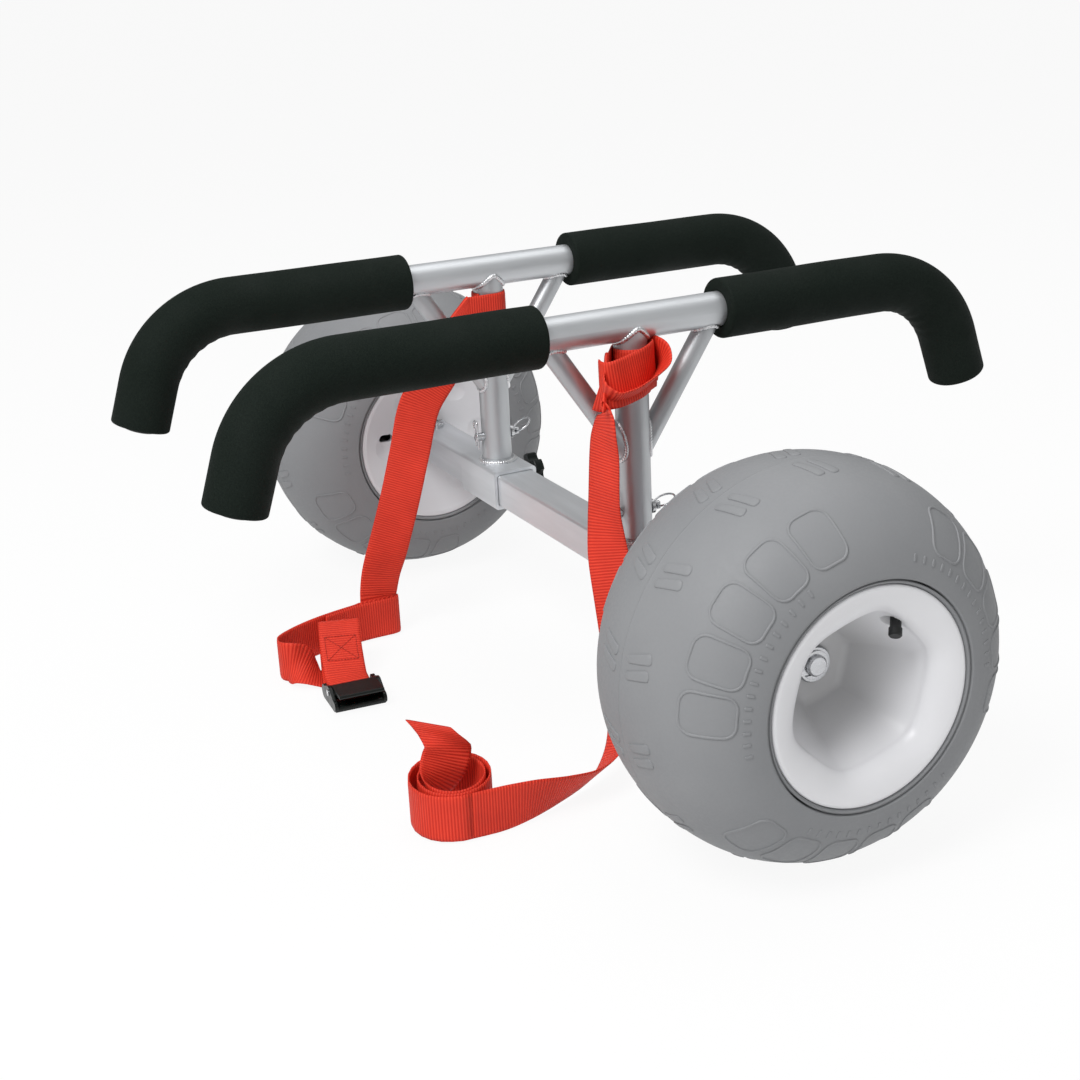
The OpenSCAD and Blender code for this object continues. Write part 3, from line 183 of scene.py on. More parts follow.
def weld_metal():
    dark, light = (0.62, 0.63, 0.65), (0.88, 0.89, 0.90)
    m, t, b = material("weld", (0.80, 0.81, 0.83), 0.30, 0.95)
    spots = noise_node(t, 260, 5)
    t.links.new(ramp(t, spots, 0.35, 0.7, dark, light), b.inputs["Base Color"])
    t.links.new(ramp(t, spots, 0.3, 0.7, 0.22, 0.45), b.inputs["Roughness"])
    bump(t, b, [(spots, 0.35, 0.0008)])
    return m


def plastic(name, colour, rough, grain=1400, depth=0.0002, tone=0.93, edge=0.0006,
            specular=0.5):
    """Moulded plastic or rubber, clouded down to tone times its colour."""
    m, t, b = material(name, colour, rough)
    b.inputs["Specular IOR Level"].default_value = specular
    cloud = noise_node(t, 22, 4)
    dark = tuple(c * tone for c in colour)
    t.links.new(ramp(t, cloud, 0.3, 0.7, dark, colour), b.inputs["Base Color"])
    wear, dull = noise_node(t, 60, 3), min(1, rough * 1.15)
    t.links.new(ramp(t, wear, 0.3, 0.7, rough * 0.85, dull), b.inputs["Roughness"])
    bump(t, b, [(noise_node(t, grain, 2), 0.10, depth)], edge)
    return m


# Heights above the wheel's middle over which painted shade darkens the hub's funnel
PAINTED_SHADE_FROM, PAINTED_SHADE_TO = 20 * MM, 74 * MM


def hub_plastic_painted_shade():
    """White moulding with painted shade that darkens it towards the bottom of its funnel."""
    m = plastic("hub_plastic_painted_shade", (0.81, 0.81, 0.832), 0.34, 500, 0.0002, 0.965, 0.0012)
    t, b = m.node_tree, m.node_tree.nodes["Principled BSDF"]
    colour = b.inputs["Base Color"].links[0].from_socket
    parts = add(t, "ShaderNodeSeparateXYZ")
    t.links.new(add(t, "ShaderNodeTexCoord").outputs["Object"], parts.inputs["Vector"])
    depth = add(t, "ShaderNodeMapRange", interpolation_type="SMOOTHSTEP")
    t.links.new(maths(t, "ABSOLUTE", parts.outputs["X"]), depth.inputs["Value"])
    depth.inputs["From Min"].default_value = TRACK_X + PAINTED_SHADE_FROM
    depth.inputs["From Max"].default_value = TRACK_X + PAINTED_SHADE_TO
    # Painted shade: the white darkens to 0.70 of itself towards the funnel's floor
    painted_shade = ramp(t, depth.outputs["Result"], 0.0, 1.0, (0.70, 0.70, 0.69), (1, 1, 1))
    t.links.new(multiply(t, colour, painted_shade), b.inputs["Base Color"])
    return m


def foam_skin():
    """Closed cell foam: a fine moulded grain, a little lighter where it is rubbed."""
    dark, light = (0.0032, 0.0065, 0.0048), (0.011, 0.017, 0.013)
    m, t, b = material("foam", (0.008, 0.011, 0.010), 0.78)
    grain = noise_node(t, 1100, 3, rough=0.7)
    cloud = noise_node(t, 18, 4)
    t.links.new(ramp(t, grain, 0.35, 0.72, dark, light), b.inputs["Base Color"])
    t.links.new(ramp(t, cloud, 0.3, 0.7, 0.66, 0.88), b.inputs["Roughness"])
    b.inputs["Specular IOR Level"].default_value = 0.13
    bump(t, b, [(cloud, 0.15, 0.002), (grain, 0.55, 0.0006)])
    return m


def tyre_rubber():
    dark, light = (0.225, 0.231, 0.241), (0.265, 0.270, 0.279)
    m, t, b = material("tyre", (0.245, 0.250, 0.260), 0.60)
    cloud = noise_node(t, 9, 5)
    fine = noise_node(t, 420, 3)
    t.links.new(ramp(t, cloud, 0.3, 0.72, dark, light), b.inputs["Base Color"])
    t.links.new(ramp(t, fine, 0.3, 0.7, 0.54, 0.70), b.inputs["Roughness"])
    bump(t, b, [(cloud, 0.08, 0.004), (fine, 0.10, 0.0003)])
    return m


# Webbing: pitch of its ribs along and number of yarns across
RIB, YARNS = 2.4 * MM, 30


def webbing_cloth_painted_shade():
    """Ribbed webbing with painted shade in the grooves between its ribs: its UV runs 0..1 across
    and in metres along.
    """
    dark, light = (0.62, 0.024, 0.013), (0.86, 0.066, 0.034)
    m, t, b = material("webbing", (0.76, 0.055, 0.026), 0.62)
    uv = add(t, "ShaderNodeTexCoord").outputs["UV"]
    parts = add(t, "ShaderNodeSeparateXYZ")
    t.links.new(uv, parts.inputs["Vector"])
    turn = maths(t, "MULTIPLY", parts.outputs["Y"], 2 * math.pi / RIB)
    rib = maths(t, "MULTIPLY_ADD", maths(t, "SINE", turn), 0.5, 0.5)
    across = maths(t, "MULTIPLY", parts.outputs["X"], 2 * math.pi * YARNS)
    yarn = maths(t, "SINE", across)
    cloud = noise_node(t, 30, 3)
    thread = noise_node(t, 1500, 2)
    # Painted shade: the red darkens in the grooves between the ribs; the ribs themselves are real
    # and also bumped
    painted_shade = ramp(t, rib, 0.0, 0.75, dark, light)
    blotch = ramp(t, cloud, 0.3, 0.7, (0.86, 0.82, 0.82), (1.0, 1.0, 1.0))
    t.links.new(multiply(t, painted_shade, blotch), b.inputs["Base Color"])
    t.links.new(ramp(t, thread, 0.3, 0.7, 0.48, 0.68), b.inputs["Roughness"])
    b.inputs["Specular IOR Level"].default_value = 0.2
    bump(t, b, [(rib, 0.7, 0.0005), (yarn, 0.25, 0.0001), (thread, 0.15, 0.0002)])
    return m


MATERIALS = {
    # One aluminium for every tube: the streaks run along each direction, and the levels 0.80, 0.69
    # and 0.56 paint light and shade by direction
    "tube_x": aluminium_painted_light("satin_tube_x_painted_light", (0.12, 1, 1), 0.80),
    "tube_y": aluminium_painted_light("satin_tube_y_painted_light", (1, 0.12, 1), 0.69),
    "tube_z": aluminium_painted_light("satin_tube_z_painted_light", (1, 1, 0.12), 0.56),
    "weld": weld_metal(),
    "steel": plain_metal("zinc_steel", (0.66, 0.67, 0.69), 0.26),
    "black_steel": plain_metal("black_coated_steel", (0.007, 0.010, 0.009), 0.28, 0.0, 700,
                               0.0007, 0.7, 0.25),
    "black_plastic": plastic("black_plastic", (0.006, 0.009, 0.008), 0.36, tone=0.8,
                             specular=0.25),
    "grey_plastic": plastic("grey_plastic", (0.30, 0.31, 0.32), 0.45),
    "white": plastic("white_plastic", (0.80, 0.80, 0.825), 0.34, 500, 0.0002, 0.965, 0.0012),
    "hub": hub_plastic_painted_shade(),
    "foam": foam_skin(),
    "tyre": tyre_rubber(),
    "rubber": plastic("valve_rubber", (0.010, 0.011, 0.011), 0.45, tone=0.8, edge=0.0004,
                      specular=0.4),
    "webbing": webbing_cloth_painted_shade(),
    "thread": plastic("thread", (0.46, 0.026, 0.014), 0.7, tone=0.8, edge=0),
}
NODE_LOOKS = {
    "axle_insert": "black_plastic", "stub_axle": "steel", "axle_hardware": "steel",
    "wheel_pin": "steel", "wheel_pin_ring": "steel", "sleeve": "tube_x",
    "post_spigot": "tube_z", "post": "tube_z", "bunk_tube": "tube_y", "braces": "tube_z",
    "front_foam": "foam", "rear_foam": "foam", "end_caps": "black_plastic",
    "weld_beads": "weld", "post_pin": "steel", "post_pin_ring": "steel",
    "post_clip": "steel", "clamp_nut": "steel", "clamp_knob": "black_plastic",
    "tyre": "tyre", "outer_hub": "white", "inner_hub": "white", "hub_bolts": "black_steel",
    "hub_bushes": "grey_plastic", "valve": "rubber",
}
LOOKS = {f"{side}_{node}": look for node, look in NODE_LOOKS.items() for side in SIDES}
LOOKS.update(axle_tube="tube_x", left_strap="webbing", right_strap="webbing",
             right_strap_coil="webbing", buckle_frame="black_steel",
             buckle_cam="black_plastic", buckle_pin="steel")
for node, look in LOOKS.items():
    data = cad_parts[node].data
    data.materials.clear()
    data.materials.append(MATERIALS[look])


# Mesh helpers
def piece(name, points, faces, look, slot, body, uvs=None):
    """A smooth mesh of the object that rides on a body; uvs holds one pair a point."""
    data = bpy.data.meshes.new(name)
    data.from_pydata([tuple(map(float, p)) for p in points], [], faces)
    data.validate()
    bm = bmesh.new()
    bm.from_mesh(data)
    bmesh.ops.recalc_face_normals(bm, faces=bm.faces)
    if uvs is not None:
        layer = bm.loops.layers.uv.new("UVMap")
        for face in bm.faces:
            for loop in face.loops:
                loop[layer].uv = uvs[loop.vert.index]
    bm.to_mesh(data)
    bm.free()
    data.polygons.foreach_set("use_smooth", [True] * len(data.polygons))
    data.materials.append(MATERIALS[look])
    o = bpy.data.objects.new(name, data)
    scene.collection.objects.link(o)
    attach(o, body)
    return o


def circle_angles(count):
    return [2 * math.pi * k / count for k in range(count)]


def grid_faces(rows, cols, wrap_rows=False):
    """Quads between rows of points, each row closed on itself."""
    faces = []
    for i in range(rows if wrap_rows else rows - 1):
        here, beyond = i * cols, ((i + 1) % rows) * cols
        for j in range(cols):
            k = (j + 1) % cols
            faces.append((here + j, here + k, beyond + k, beyond + j))
    return faces


def join_meshes(parts):
    """(points, faces) of several (points, faces)."""
    points, faces = [], []
    for p, f in parts:
        n = len(points)
        points.extend(p)
        faces.extend(tuple(n + i for i in face) for face in f)
    return points, faces


def lathe(profile, turns, place):
    """Closed ring of (radius, z) points turned about the axle; place maps (r, angle, z)."""
    points = [place(r, a, z) for r, z in profile for a in circle_angles(turns)]
    return points, grid_faces(len(profile), turns, wrap_rows=True)


# Wheels
def wheel_place(sign):
    """Maps radius, angle about the axle and distance outward from the wheel's middle."""
    def place(r, angle, z):
        return (sign * (TRACK_X + z), r * math.cos(angle), AXLE_Z + r * math.sin(angle))
    return place


# Tyre: height and foot of its relief, where it is widest, how square its section is, and
# the radius of the ticks
RELIEF, SUNK = 0.8 * MM, -0.3 * MM
WIDE_R, FULLNESS, TICK_R = 81 * MM, 2.15, 101 * MM


def tyre_profile(t):
    """Point (radius, z) of the tyre's outside, t from 0 outer side to pi inner side."""
    e = 2 / FULLNESS
    rise = TYRE_R - RELIEF - WIDE_R
    c = math.cos(t)
    return (WIDE_R + rise * math.sin(t) ** e, TYRE_HALF_W * math.copysign(abs(c) ** e, c))


def run_lengths(line):
    """Distance run at each point of a line, from 0."""
    steps = [math.dist(a, b) for a, b in zip(line, line[1:])]
    return np.concatenate([[0], np.cumsum(steps)])


TYRE_STEPS, TYRE_END = 1200, 0.06
TYRE_LINE = [tyre_profile(TYRE_END + (math.pi - 2 * TYRE_END) * i / TYRE_STEPS)
             for i in range(TYRE_STEPS + 1)]
TYRE_ARC = run_lengths(TYRE_LINE)
CROWN = TYRE_ARC[-1] / 2
OUTER_RADII = [r for r, _ in TYRE_LINE[:TYRE_STEPS // 2]]
TICK_ARC = CROWN - float(np.interp(TICK_R, OUTER_RADII, TYRE_ARC[:TYRE_STEPS // 2]))


def on_tyre(along, lift):
    """(radius, z) at an arc distance from the crown, outward positive, raised by lift."""
    s = CROWN - along
    i = int(np.clip(np.searchsorted(TYRE_ARC, s), 1, TYRE_STEPS))
    a, b = np.array(TYRE_LINE[i - 1]), np.array(TYRE_LINE[i])
    u = (s - TYRE_ARC[i - 1]) / (TYRE_ARC[i] - TYRE_ARC[i - 1])
    d = (b - a) / np.linalg.norm(b - a)
    return a + (b - a) * u + lift * np.array([-d[1], d[0]]) * (1 if d[1] < 0 else -1)


TYRE_LIP = ((84.4, 87.8), (83.0, 86.9), (82.1, 85.8), (81.7, 84.6), (81.6, 83.4), (80, 82.8),
            (72, 82))


def tyre_mesh(place):
    """Outside with a fine mould line at the crown, closed by the bead's lip on both sides."""
    ridge, rows, turns = 0.35 * MM, 160, 256
    lines = [(-TYRE_ARC[-1] / 2 + TYRE_ARC[-1] * i / rows, 0.0) for i in range(rows + 1)]
    lines += [(k * 0.6 * MM, ridge * (1 - abs(k) / 2)) for k in (-2, -1, 0, 1, 2)]
    outside = [tuple(on_tyre(s, h)) for s, h in sorted(lines, reverse=True)]
    lip = [(r * MM, z * MM) for r, z in TYRE_LIP]
    back = [(r, -z) for r, z in reversed(lip)]
    return lathe(outside + lip + back, turns, place)


def raised(place, outline, at, along, turn=0.0, height=RELIEF):
    """A raised pad: outline points (round, across) in metres, at an angle and arc distance."""
    base_r = on_tyre(along, 0)[0]
    rings = [(1.0, SUNK), (0.985, 0.55 * height), (0.93, height), (0.6, height), (0.25, height)]
    c, s = math.cos(turn), math.sin(turn)
    points = []
    for scale, lift in rings:
        for x, y in outline:
            u, v = (x * c - y * s) * scale, (x * s + y * c) * scale
            r, z = on_tyre(along + v, lift)
            points.append(place(r, at + u / base_r, z))
    n = len(outline)
    r, z = on_tyre(along, height)
    points.append(place(r, at, z))
    faces = grid_faces(len(rings), n)
    last = (len(rings) - 1) * n
    faces += [(last + j, last + (j + 1) % n, len(points) - 1) for j in range(n)]
    return points, faces


def rounded_box(w, h, r, steps=5, taper=0.0):
    """Outline of a box with round corners, dense enough to follow the tyre."""
    points = []
    for cx, cy, a0 in ((1, 1, 0), (-1, 1, 90), (-1, -1, 180), (1, -1, 270)):
        for k in range(steps + 1):
            a = math.radians(a0 + 90 * k / steps)
            x, y = cx * (w / 2 - r) + r * math.cos(a), cy * (h / 2 - r) + r * math.sin(a)
            points.append((x * (1 + taper * y / h), y))
    dense = []
    for a, b in zip(points, points[1:] + points[:1]):
        n = max(1, int(math.dist(a, b) / (3 * MM)))
        dense += [(a[0] + (b[0] - a[0]) * k / n, a[1] + (b[1] - a[1]) * k / n) for k in range(n)]
    return dense


def frame_ridge(place, outline, at, along, width=2.2 * MM, height=RELIEF):
    """A raised line that follows an outline."""
    base_r = on_tyre(along, 0)[0]
    pts = np.array(outline)
    tangent = np.roll(pts, -1, 0) - np.roll(pts, 1, 0)
    tangent /= np.linalg.norm(tangent, axis=1)[:, None]
    side = np.stack([-tangent[:, 1], tangent[:, 0]], 1)
    rows = ((-0.5, SUNK), (-0.36, 0.8 * height), (0, height), (0.36, 0.8 * height), (0.5, SUNK))
    points = []
    for off, lift in rows:
        for x, y in pts + side * off * width:
            r, z = on_tyre(along + y, lift)
            points.append(place(r, at + x / base_r, z))
    return points, grid_faces(len(rows), len(outline))


# Tread: pairs of bars, groups of outlined blocks, turned on the outer side, and runs of ticks
BAR_PAIRS, BAR_ARC, BAR_GAP, BAR_LEAN = 14, 19 * MM, 6 * MM, 0.30
BLOCK_GROUPS, GROUP_BLOCKS, BLOCK_PITCH, BLOCK_ARC = 3, 5, math.radians(17), 78 * MM
OUTER_SHIFT = 0.35
TICK_PLACES, TICK_PERIOD, TICK_RUN, TICK_RISE = 72, 24, 15, 0.5 * MM


def tyre_relief(place):
    """Plain tread bars at the crown, outlined blocks on the shoulders and ticks at the rim."""
    parts = []
    bar = rounded_box(7 * MM, 26 * MM, 3 * MM, taper=0.35)
    block = rounded_box(30 * MM, 40 * MM, 9 * MM, taper=0.12)
    tick = rounded_box(2.2 * MM, 6 * MM, 0.9 * MM)
    for k in range(BAR_PAIRS):
        at = 2 * math.pi * (k + 0.5) / BAR_PAIRS
        for s in (-1, 1):
            for way in (-1, 1):
                parts.append(raised(place, bar, at + way * BAR_GAP / TYRE_R, s * BAR_ARC,
                                    s * BAR_LEAN))
    for s in (-1, 1):
        for group in range(BLOCK_GROUPS):
            for k in range(GROUP_BLOCKS):
                at = 2 * math.pi * (group / BLOCK_GROUPS) + (k - 2) * BLOCK_PITCH
                at += OUTER_SHIFT if s > 0 else 0
                parts.append(frame_ridge(place, block, at, s * BLOCK_ARC))
        for k in range(TICK_PLACES):
            if k % TICK_PERIOD < TICK_RUN:
                at = 2 * math.pi * k / TICK_PLACES
                parts.append(raised(place, tick, at, s * TICK_ARC, 0, TICK_RISE))
    return join_meshes(parts)


def smooth_min(a, b, k):
    """The lesser of two numbers, blended over k where they meet."""
    h = max(k - abs(a - b), 0) / k
    return min(a, b) - h * h * k / 4


# Hub, heights outward from the wheel's middle: floor and mouth of the funnel, top of the flange
HUB_FLOOR, HUB_MOUTH, HUB_CREST = 16 * MM, 71.3 * MM, 87.3 * MM
CREST_R, BORE_R, BARREL_R = 78.9 * MM, 11 * MM, 66 * MM
MOUTH_R, FLOOR_R, FLOOR_FILLET = 58.5 * MM, 34 * MM, 4 * MM
FLATS, FLOOR_CUT, MOUTH_CUT, FLAT_BLEND = 6, 7 * MM, 3.5 * MM, 5 * MM
FLAT_TURN, VALVE_TURN, VALVE_Z = math.radians(46), math.radians(55), 66 * MM
VALVE_HOLE_R, VALVE_HOLE_H, VALVE_HOLE_AT = 6.9 * MM, 40 * MM, 58 * MM
HUB_RIM = ((66, 81), (78, 82.2), (80.6, 82.6), (81.4, 83.6), (81.5, 85), (81.1, 86.2),
           (80.2, 87.0))


def cavity_r(angle, z):
    """Radius of the hub's soft six-sided funnel at a height above the wheel's middle."""
    u = (z - HUB_FLOOR) / (HUB_MOUTH - HUB_FLOOR)
    cone = FLOOR_R + (MOUTH_R - FLOOR_R) * u
    flat = (FLOOR_R - FLOOR_CUT) + (MOUTH_R - FLOOR_R + FLOOR_CUT - MOUTH_CUT) * u
    step = 2 * math.pi / FLATS
    local = (angle - FLAT_TURN - step / 2) % step - step / 2
    return smooth_min(cone, flat / math.cos(local), FLAT_BLEND)


def hub_mesh(place):
    """Barrel and rim, flange that rolls into the funnel, its wall, its floor and the bore."""
    turns = circle_angles(240)
    flange_rows, wall_rows, fillet_rows = 28, 24, 8
    points = [place(BARREL_R, a, 0) for a in turns]
    points += [place(r * MM, a, z * MM) for r, z in HUB_RIM for a in turns]
    for k in range(flange_rows + 1):
        t = math.pi / 2 * k / flange_rows
        z = HUB_MOUTH + (HUB_CREST - HUB_MOUTH) * math.cos(t)
        roll = math.sin(t) ** 1.25
        points += [place(CREST_R - (CREST_R - cavity_r(a, HUB_MOUTH)) * roll, a, z) for a in turns]
    for k in range(1, wall_rows + 1):
        z = HUB_MOUTH + (HUB_FLOOR + FLOOR_FILLET - HUB_MOUTH) * k / wall_rows
        points += [place(cavity_r(a, z), a, z) for a in turns]
    for k in range(1, fillet_rows + 1):
        t = math.pi / 2 * k / fillet_rows
        z = HUB_FLOOR + FLOOR_FILLET * (1 - math.sin(t))
        inset = FLOOR_FILLET * (1 - math.cos(t))
        points += [place(cavity_r(a, z) - inset, a, z) for a in turns]
    for r, z in ((BORE_R + 3 * MM, HUB_FLOOR), (BORE_R, HUB_FLOOR), (BORE_R, 0)):
        points += [place(r, a, z) for a in turns]
    return points, grid_faces(len(points) // len(turns), len(turns), wrap_rows=True)


def cut_valve_hole(o, sign):
    """Drills the hole that the valve's foot sits in."""
    out = Vector((0, math.cos(VALVE_TURN), math.sin(VALVE_TURN)))
    bm = bmesh.new()
    bmesh.ops.create_cone(bm, segments=48, radius1=VALVE_HOLE_R, radius2=VALVE_HOLE_R,
                          depth=VALVE_HOLE_H, cap_ends=True)
    data = bpy.data.meshes.new("cutter")
    bm.to_mesh(data)
    bm.free()
    cutter = bpy.data.objects.new("cutter", data)
    cutter.rotation_mode = "QUATERNION"
    cutter.rotation_quaternion = out.to_track_quat("Z", "X")
    cutter.location = Vector((sign * (TRACK_X + VALVE_Z), 0, AXLE_Z)) + out * VALVE_HOLE_AT
    scene.collection.objects.link(cutter)
    mod = o.modifiers.new("hole", "BOOLEAN")
    mod.object, mod.operation, mod.solver = cutter, "DIFFERENCE", "EXACT"
    bpy.context.view_layer.update()
    bpy.context.view_layer.objects.active = o
    with bpy.context.temp_override(object=o, active_object=o, selected_objects=[o]):
        bpy.ops.object.modifier_apply(modifier=mod.name)
    bpy.data.objects.remove(cutter)


for side, sign in SIDES.items():
    place = wheel_place(sign)
    tyre = piece(f"{side}_tyre_casing", *tyre_mesh(place), "tyre", "tyre", f"{side}_wheel")
    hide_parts(f"{side}_tyre")
    piece(f"{side}_tyre_relief", *tyre_relief(place), "tyre", "tyre", f"{side}_wheel")
    hub = piece(f"{side}_hub_moulding", *hub_mesh(place), "hub", "white_plastic", f"{side}_wheel")
    cut_valve_hole(hub, sign)
    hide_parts(f"{side}_outer_hub")


# Foam sleeves on the bunk's bent ends, with an uneven skin and creases inside the bend
BEND_R, BEND_ANGLE, TAIL = 82 * MM, math.radians(72), 39 * MM
STRAIGHT, FOAM_START = 245 * MM, 83 * MM
FOAM_LENGTH = STRAIGHT + BEND_R * BEND_ANGLE + TAIL
FOAM_BORE, END_ROUND, BORE_EDGE = BUNK_R + 0.15 * MM, 2.5 * MM, 0.3 * MM
FOAM_SWELL, SWELL_SCALE, SWELL_ROUND = 0.5 * MM, 14, 1.2
CREASE, CREASE_SCALE = 0.35 * MM, 420


def bunk_line(s):
    """Centre line of the bunk's rear half: (y, z, slope angle) at a distance s from its middle."""
    if s <= STRAIGHT:
        return s, BUNK_Z, 0.0
    a = (s - STRAIGHT) / BEND_R
    if a <= BEND_ANGLE:
        return STRAIGHT + BEND_R * math.sin(a), BUNK_Z - BEND_R * (1 - math.cos(a)), a
    rest = s - STRAIGHT - BEND_R * BEND_ANGLE
    y, z = STRAIGHT + BEND_R * math.sin(BEND_ANGLE), BUNK_Z - BEND_R * (1 - math.cos(BEND_ANGLE))
    return y + rest * math.cos(BEND_ANGLE), z - rest * math.sin(BEND_ANGLE), BEND_ANGLE


def foam_rows():
    """Closed section of a sleeve: (distance along the bunk, radius)."""
    n, quarter = 110, [math.pi / 2 * k / 6 for k in range(7)]
    start, end = FOAM_START + END_ROUND, FOAM_LENGTH - END_ROUND
    runs = [start + (end - start) * i / n for i in range(1, n)]
    rim, lip = FOAM_R - 2.5 * END_ROUND, FOAM_BORE + 1 * MM
    head = [(FOAM_START + BORE_EDGE, FOAM_BORE), (FOAM_START, lip), (FOAM_START, rim)]
    head += [(FOAM_START + END_ROUND * (1 - math.cos(t)), FOAM_R - END_ROUND * (1 - math.sin(t)))
             for t in quarter]
    tail = [(end + END_ROUND * math.sin(t), FOAM_R - END_ROUND * (1 - math.cos(t)))
            for t in quarter]
    tail += [(FOAM_LENGTH, rim), (FOAM_LENGTH, lip), (FOAM_LENGTH - BORE_EDGE, FOAM_BORE)]
    return head + [(s, FOAM_R) for s in runs] + tail + [(s, FOAM_BORE) for s in reversed(runs)]


def foam_mesh(x, direction, seed):
    rows, turns = foam_rows(), circle_angles(72)
    points = []
    for s, r in rows:
        y, z, slope = bunk_line(s)
        bend = math.sin(min(1, max(0, (s - STRAIGHT) / (BEND_R * BEND_ANGLE))) * math.pi)
        for t in turns:
            ox, oz = math.cos(t), math.sin(t)
            out = r
            if r > FOAM_R - END_ROUND:
                spot = Vector((s * SWELL_SCALE + seed, ox * SWELL_ROUND, oz * SWELL_ROUND))
                out += FOAM_SWELL * noise.noise(spot)
                out += CREASE * bend * math.sin(s * CREASE_SCALE) * max(0, -oz)
            points.append((x + out * ox, direction * (y + out * oz * math.sin(slope)),
                           z + out * oz * math.cos(slope)))
    return points, grid_faces(len(rows), len(turns), wrap_rows=True)


for side, sign in SIDES.items():
    for part, direction in (("front", -1), ("rear", 1)):
        name = f"{side}_{part}_foam"
        mesh = foam_mesh(sign * BUNK_X, direction, len(name) + 3 * sign)
        foam = piece(f"{name}_sleeve", *mesh, "foam", "foam", f"{side}_bunk")
        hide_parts(name)


# Webbing: a row of sections, each with its middle, half its width and its normal
WEB_W, WEB_T, SELVEDGE = 38 * MM, 1.6 * MM, 0.55
FOLD_GAP, EASE, CLEAR = WEB_T + 0.6 * MM, 0.8 * MM, 1 * MM
BAND_STEPS, WRAP_STEP, COIL_STEPS, TAIL_STEPS = 5, 15, 24, 10
WRAP_R = POST_R + 1.1 * MM
WRAP_Z = BUNK_Z - 38 * MM
WEB_MID = WEB_W / 2 + 0.3 * MM
COIL_AT, COIL_R, COIL_STEP = (208 * MM, -208 * MM), 32 * MM, 4.4 * MM
COIL_TURNS, TAIL_RISE, TAIL_IN, TAIL_SWEEP = 2.2, 34 * MM, 13 * MM, 110
X, Y, Z = np.eye(3)
# Axes right, towards the viewer and up, as the camera sees the posts
POST_VIEW = np.array(((0.465, 0.885, 0), (0.885, -0.465, 0), (0, 0, 1)))


def unit(v):
    v = np.asarray(v, float)
    return v / np.linalg.norm(v)


def section(mid, along, across):
    """Section of the webbing at one place, from its run and the direction of its width."""
    t = unit(along)
    across = np.asarray(across, float)
    w = unit(across - (across @ t) * t)
    return np.asarray(mid, float), w * WEB_W / 2, np.cross(t, w)


def band(rows):
    """Smooth run through rows of a place in millimetres and the width's direction."""
    rows = [np.array(r, float) for r in rows]
    n, out = len(rows) - 1, []
    for i in range(n):
        a, b, c, d = rows[max(i - 1, 0)], rows[i], rows[i + 1], rows[min(i + 2, n)]
        square, cube = 2 * a - 5 * b + 4 * c - d, 3 * b - a - 3 * c + d
        for k in range(BAND_STEPS + 1 if i == n - 1 else BAND_STEPS):
            t = k / BAND_STEPS
            v = 0.5 * (2 * b + (c - a) * t + square * t * t + cube * t ** 3)
            g = 0.5 * ((c - a) + 2 * square * t + 3 * cube * t * t)
            out.append(section(v[:3] * MM, g[:3], v[3:]))
    return out


def fold(p, t, w, side, lift):
    """Flat diagonal fold at p of a run along t, width w, that turns over towards lift."""
    half, out = (w + side * t) * WEB_W / 2, (t - side * w) / math.sqrt(2)
    n = np.cross(t, w)
    return [(p, half, n), (p + (out + lift) * FOLD_GAP / 2, half, np.cross(lift, unit(half))),
            (p + lift * FOLD_GAP, half, -n)]


def wrap(at, a0, sweep):
    """Upright turn round the post at (x, y), from angle a0 through sweep degrees."""
    n, way = math.ceil(abs(sweep) / WRAP_STEP), math.copysign(1, sweep)
    out = []
    for i in range(n + 1):
        a = math.radians(a0 + sweep * i / n)
        c, s = math.cos(a), math.sin(a)
        mid = (at[0] + WRAP_R * c, at[1] + WRAP_R * s, WRAP_Z)
        out.append(section(mid, (-way * s, way * c, 0), Z))
    return out


COIL_LIFT, LIFT_TURN = 7 * MM, math.radians(152)
COIL_BULGE, BULGE_TURN = 6 * MM, math.radians(238)
# Free end of the coil: rise and lean in millimetres, and how far its width has turned
COIL_END = ((4, -1, 0.3), (9, -4, 0.75), (15, -9, 1.0), (21, -14, 1.1))


def coil_point(a, r, z):
    """A place on the coil: its far side rides up, and its outer turns bulge."""
    z += COIL_LIFT * (1 + math.cos(a - LIFT_TURN)) / 2
    r += COIL_BULGE * max(0.0, math.cos(a - BULGE_TURN)) * math.exp(a / (2 * math.pi))
    return np.array((COIL_AT[0] + r * math.cos(a), COIL_AT[1] + r * math.sin(a), z))


def coil():
    """Upright spiral on the floor whose free end rises out of its middle and leans over."""
    n, inward = math.ceil(COIL_TURNS * COIL_STEPS), COIL_STEP / (2 * math.pi)
    out = []
    for i in range(n + 1):
        a = -2 * math.pi * COIL_TURNS * i / n
        out.append(section(coil_point(a, COIL_R + inward * a, WEB_MID),
                           (math.sin(a), -math.cos(a), 0), Z))
    sweep = math.radians(TAIL_SWEEP)
    for i in range(1, TAIL_STEPS + 1):
        u = i / TAIL_STEPS
        a = -2 * math.pi * COIL_TURNS - sweep * u
        r = COIL_R + inward * a - TAIL_IN * u * u * (3 - 2 * u)
        slope = 6 * TAIL_IN * u * (1 - u) + inward * sweep
        c, s = math.cos(a), math.sin(a)
        run = (s * r * sweep - c * slope, -c * r * sweep - s * slope, 2 * TAIL_RISE * u)
        out.append(section(coil_point(a, r, WEB_MID + TAIL_RISE * u * u), run, Z))
    mid, half, _ = out[-1]
    right, front, _ = POST_VIEW
    side = math.copysign(1, half @ right)
    for rise, lean, turn in COIL_END:
        width = side * unit(unit(half) * side + turn * (0.62 * front + 0.16 * Z))
        normal = unit(np.cross(Z + 0.4 * lean / rise * right, width))
        out.append((mid + (rise * Z + lean * right) * MM, width * WEB_W / 2, normal))
    return out


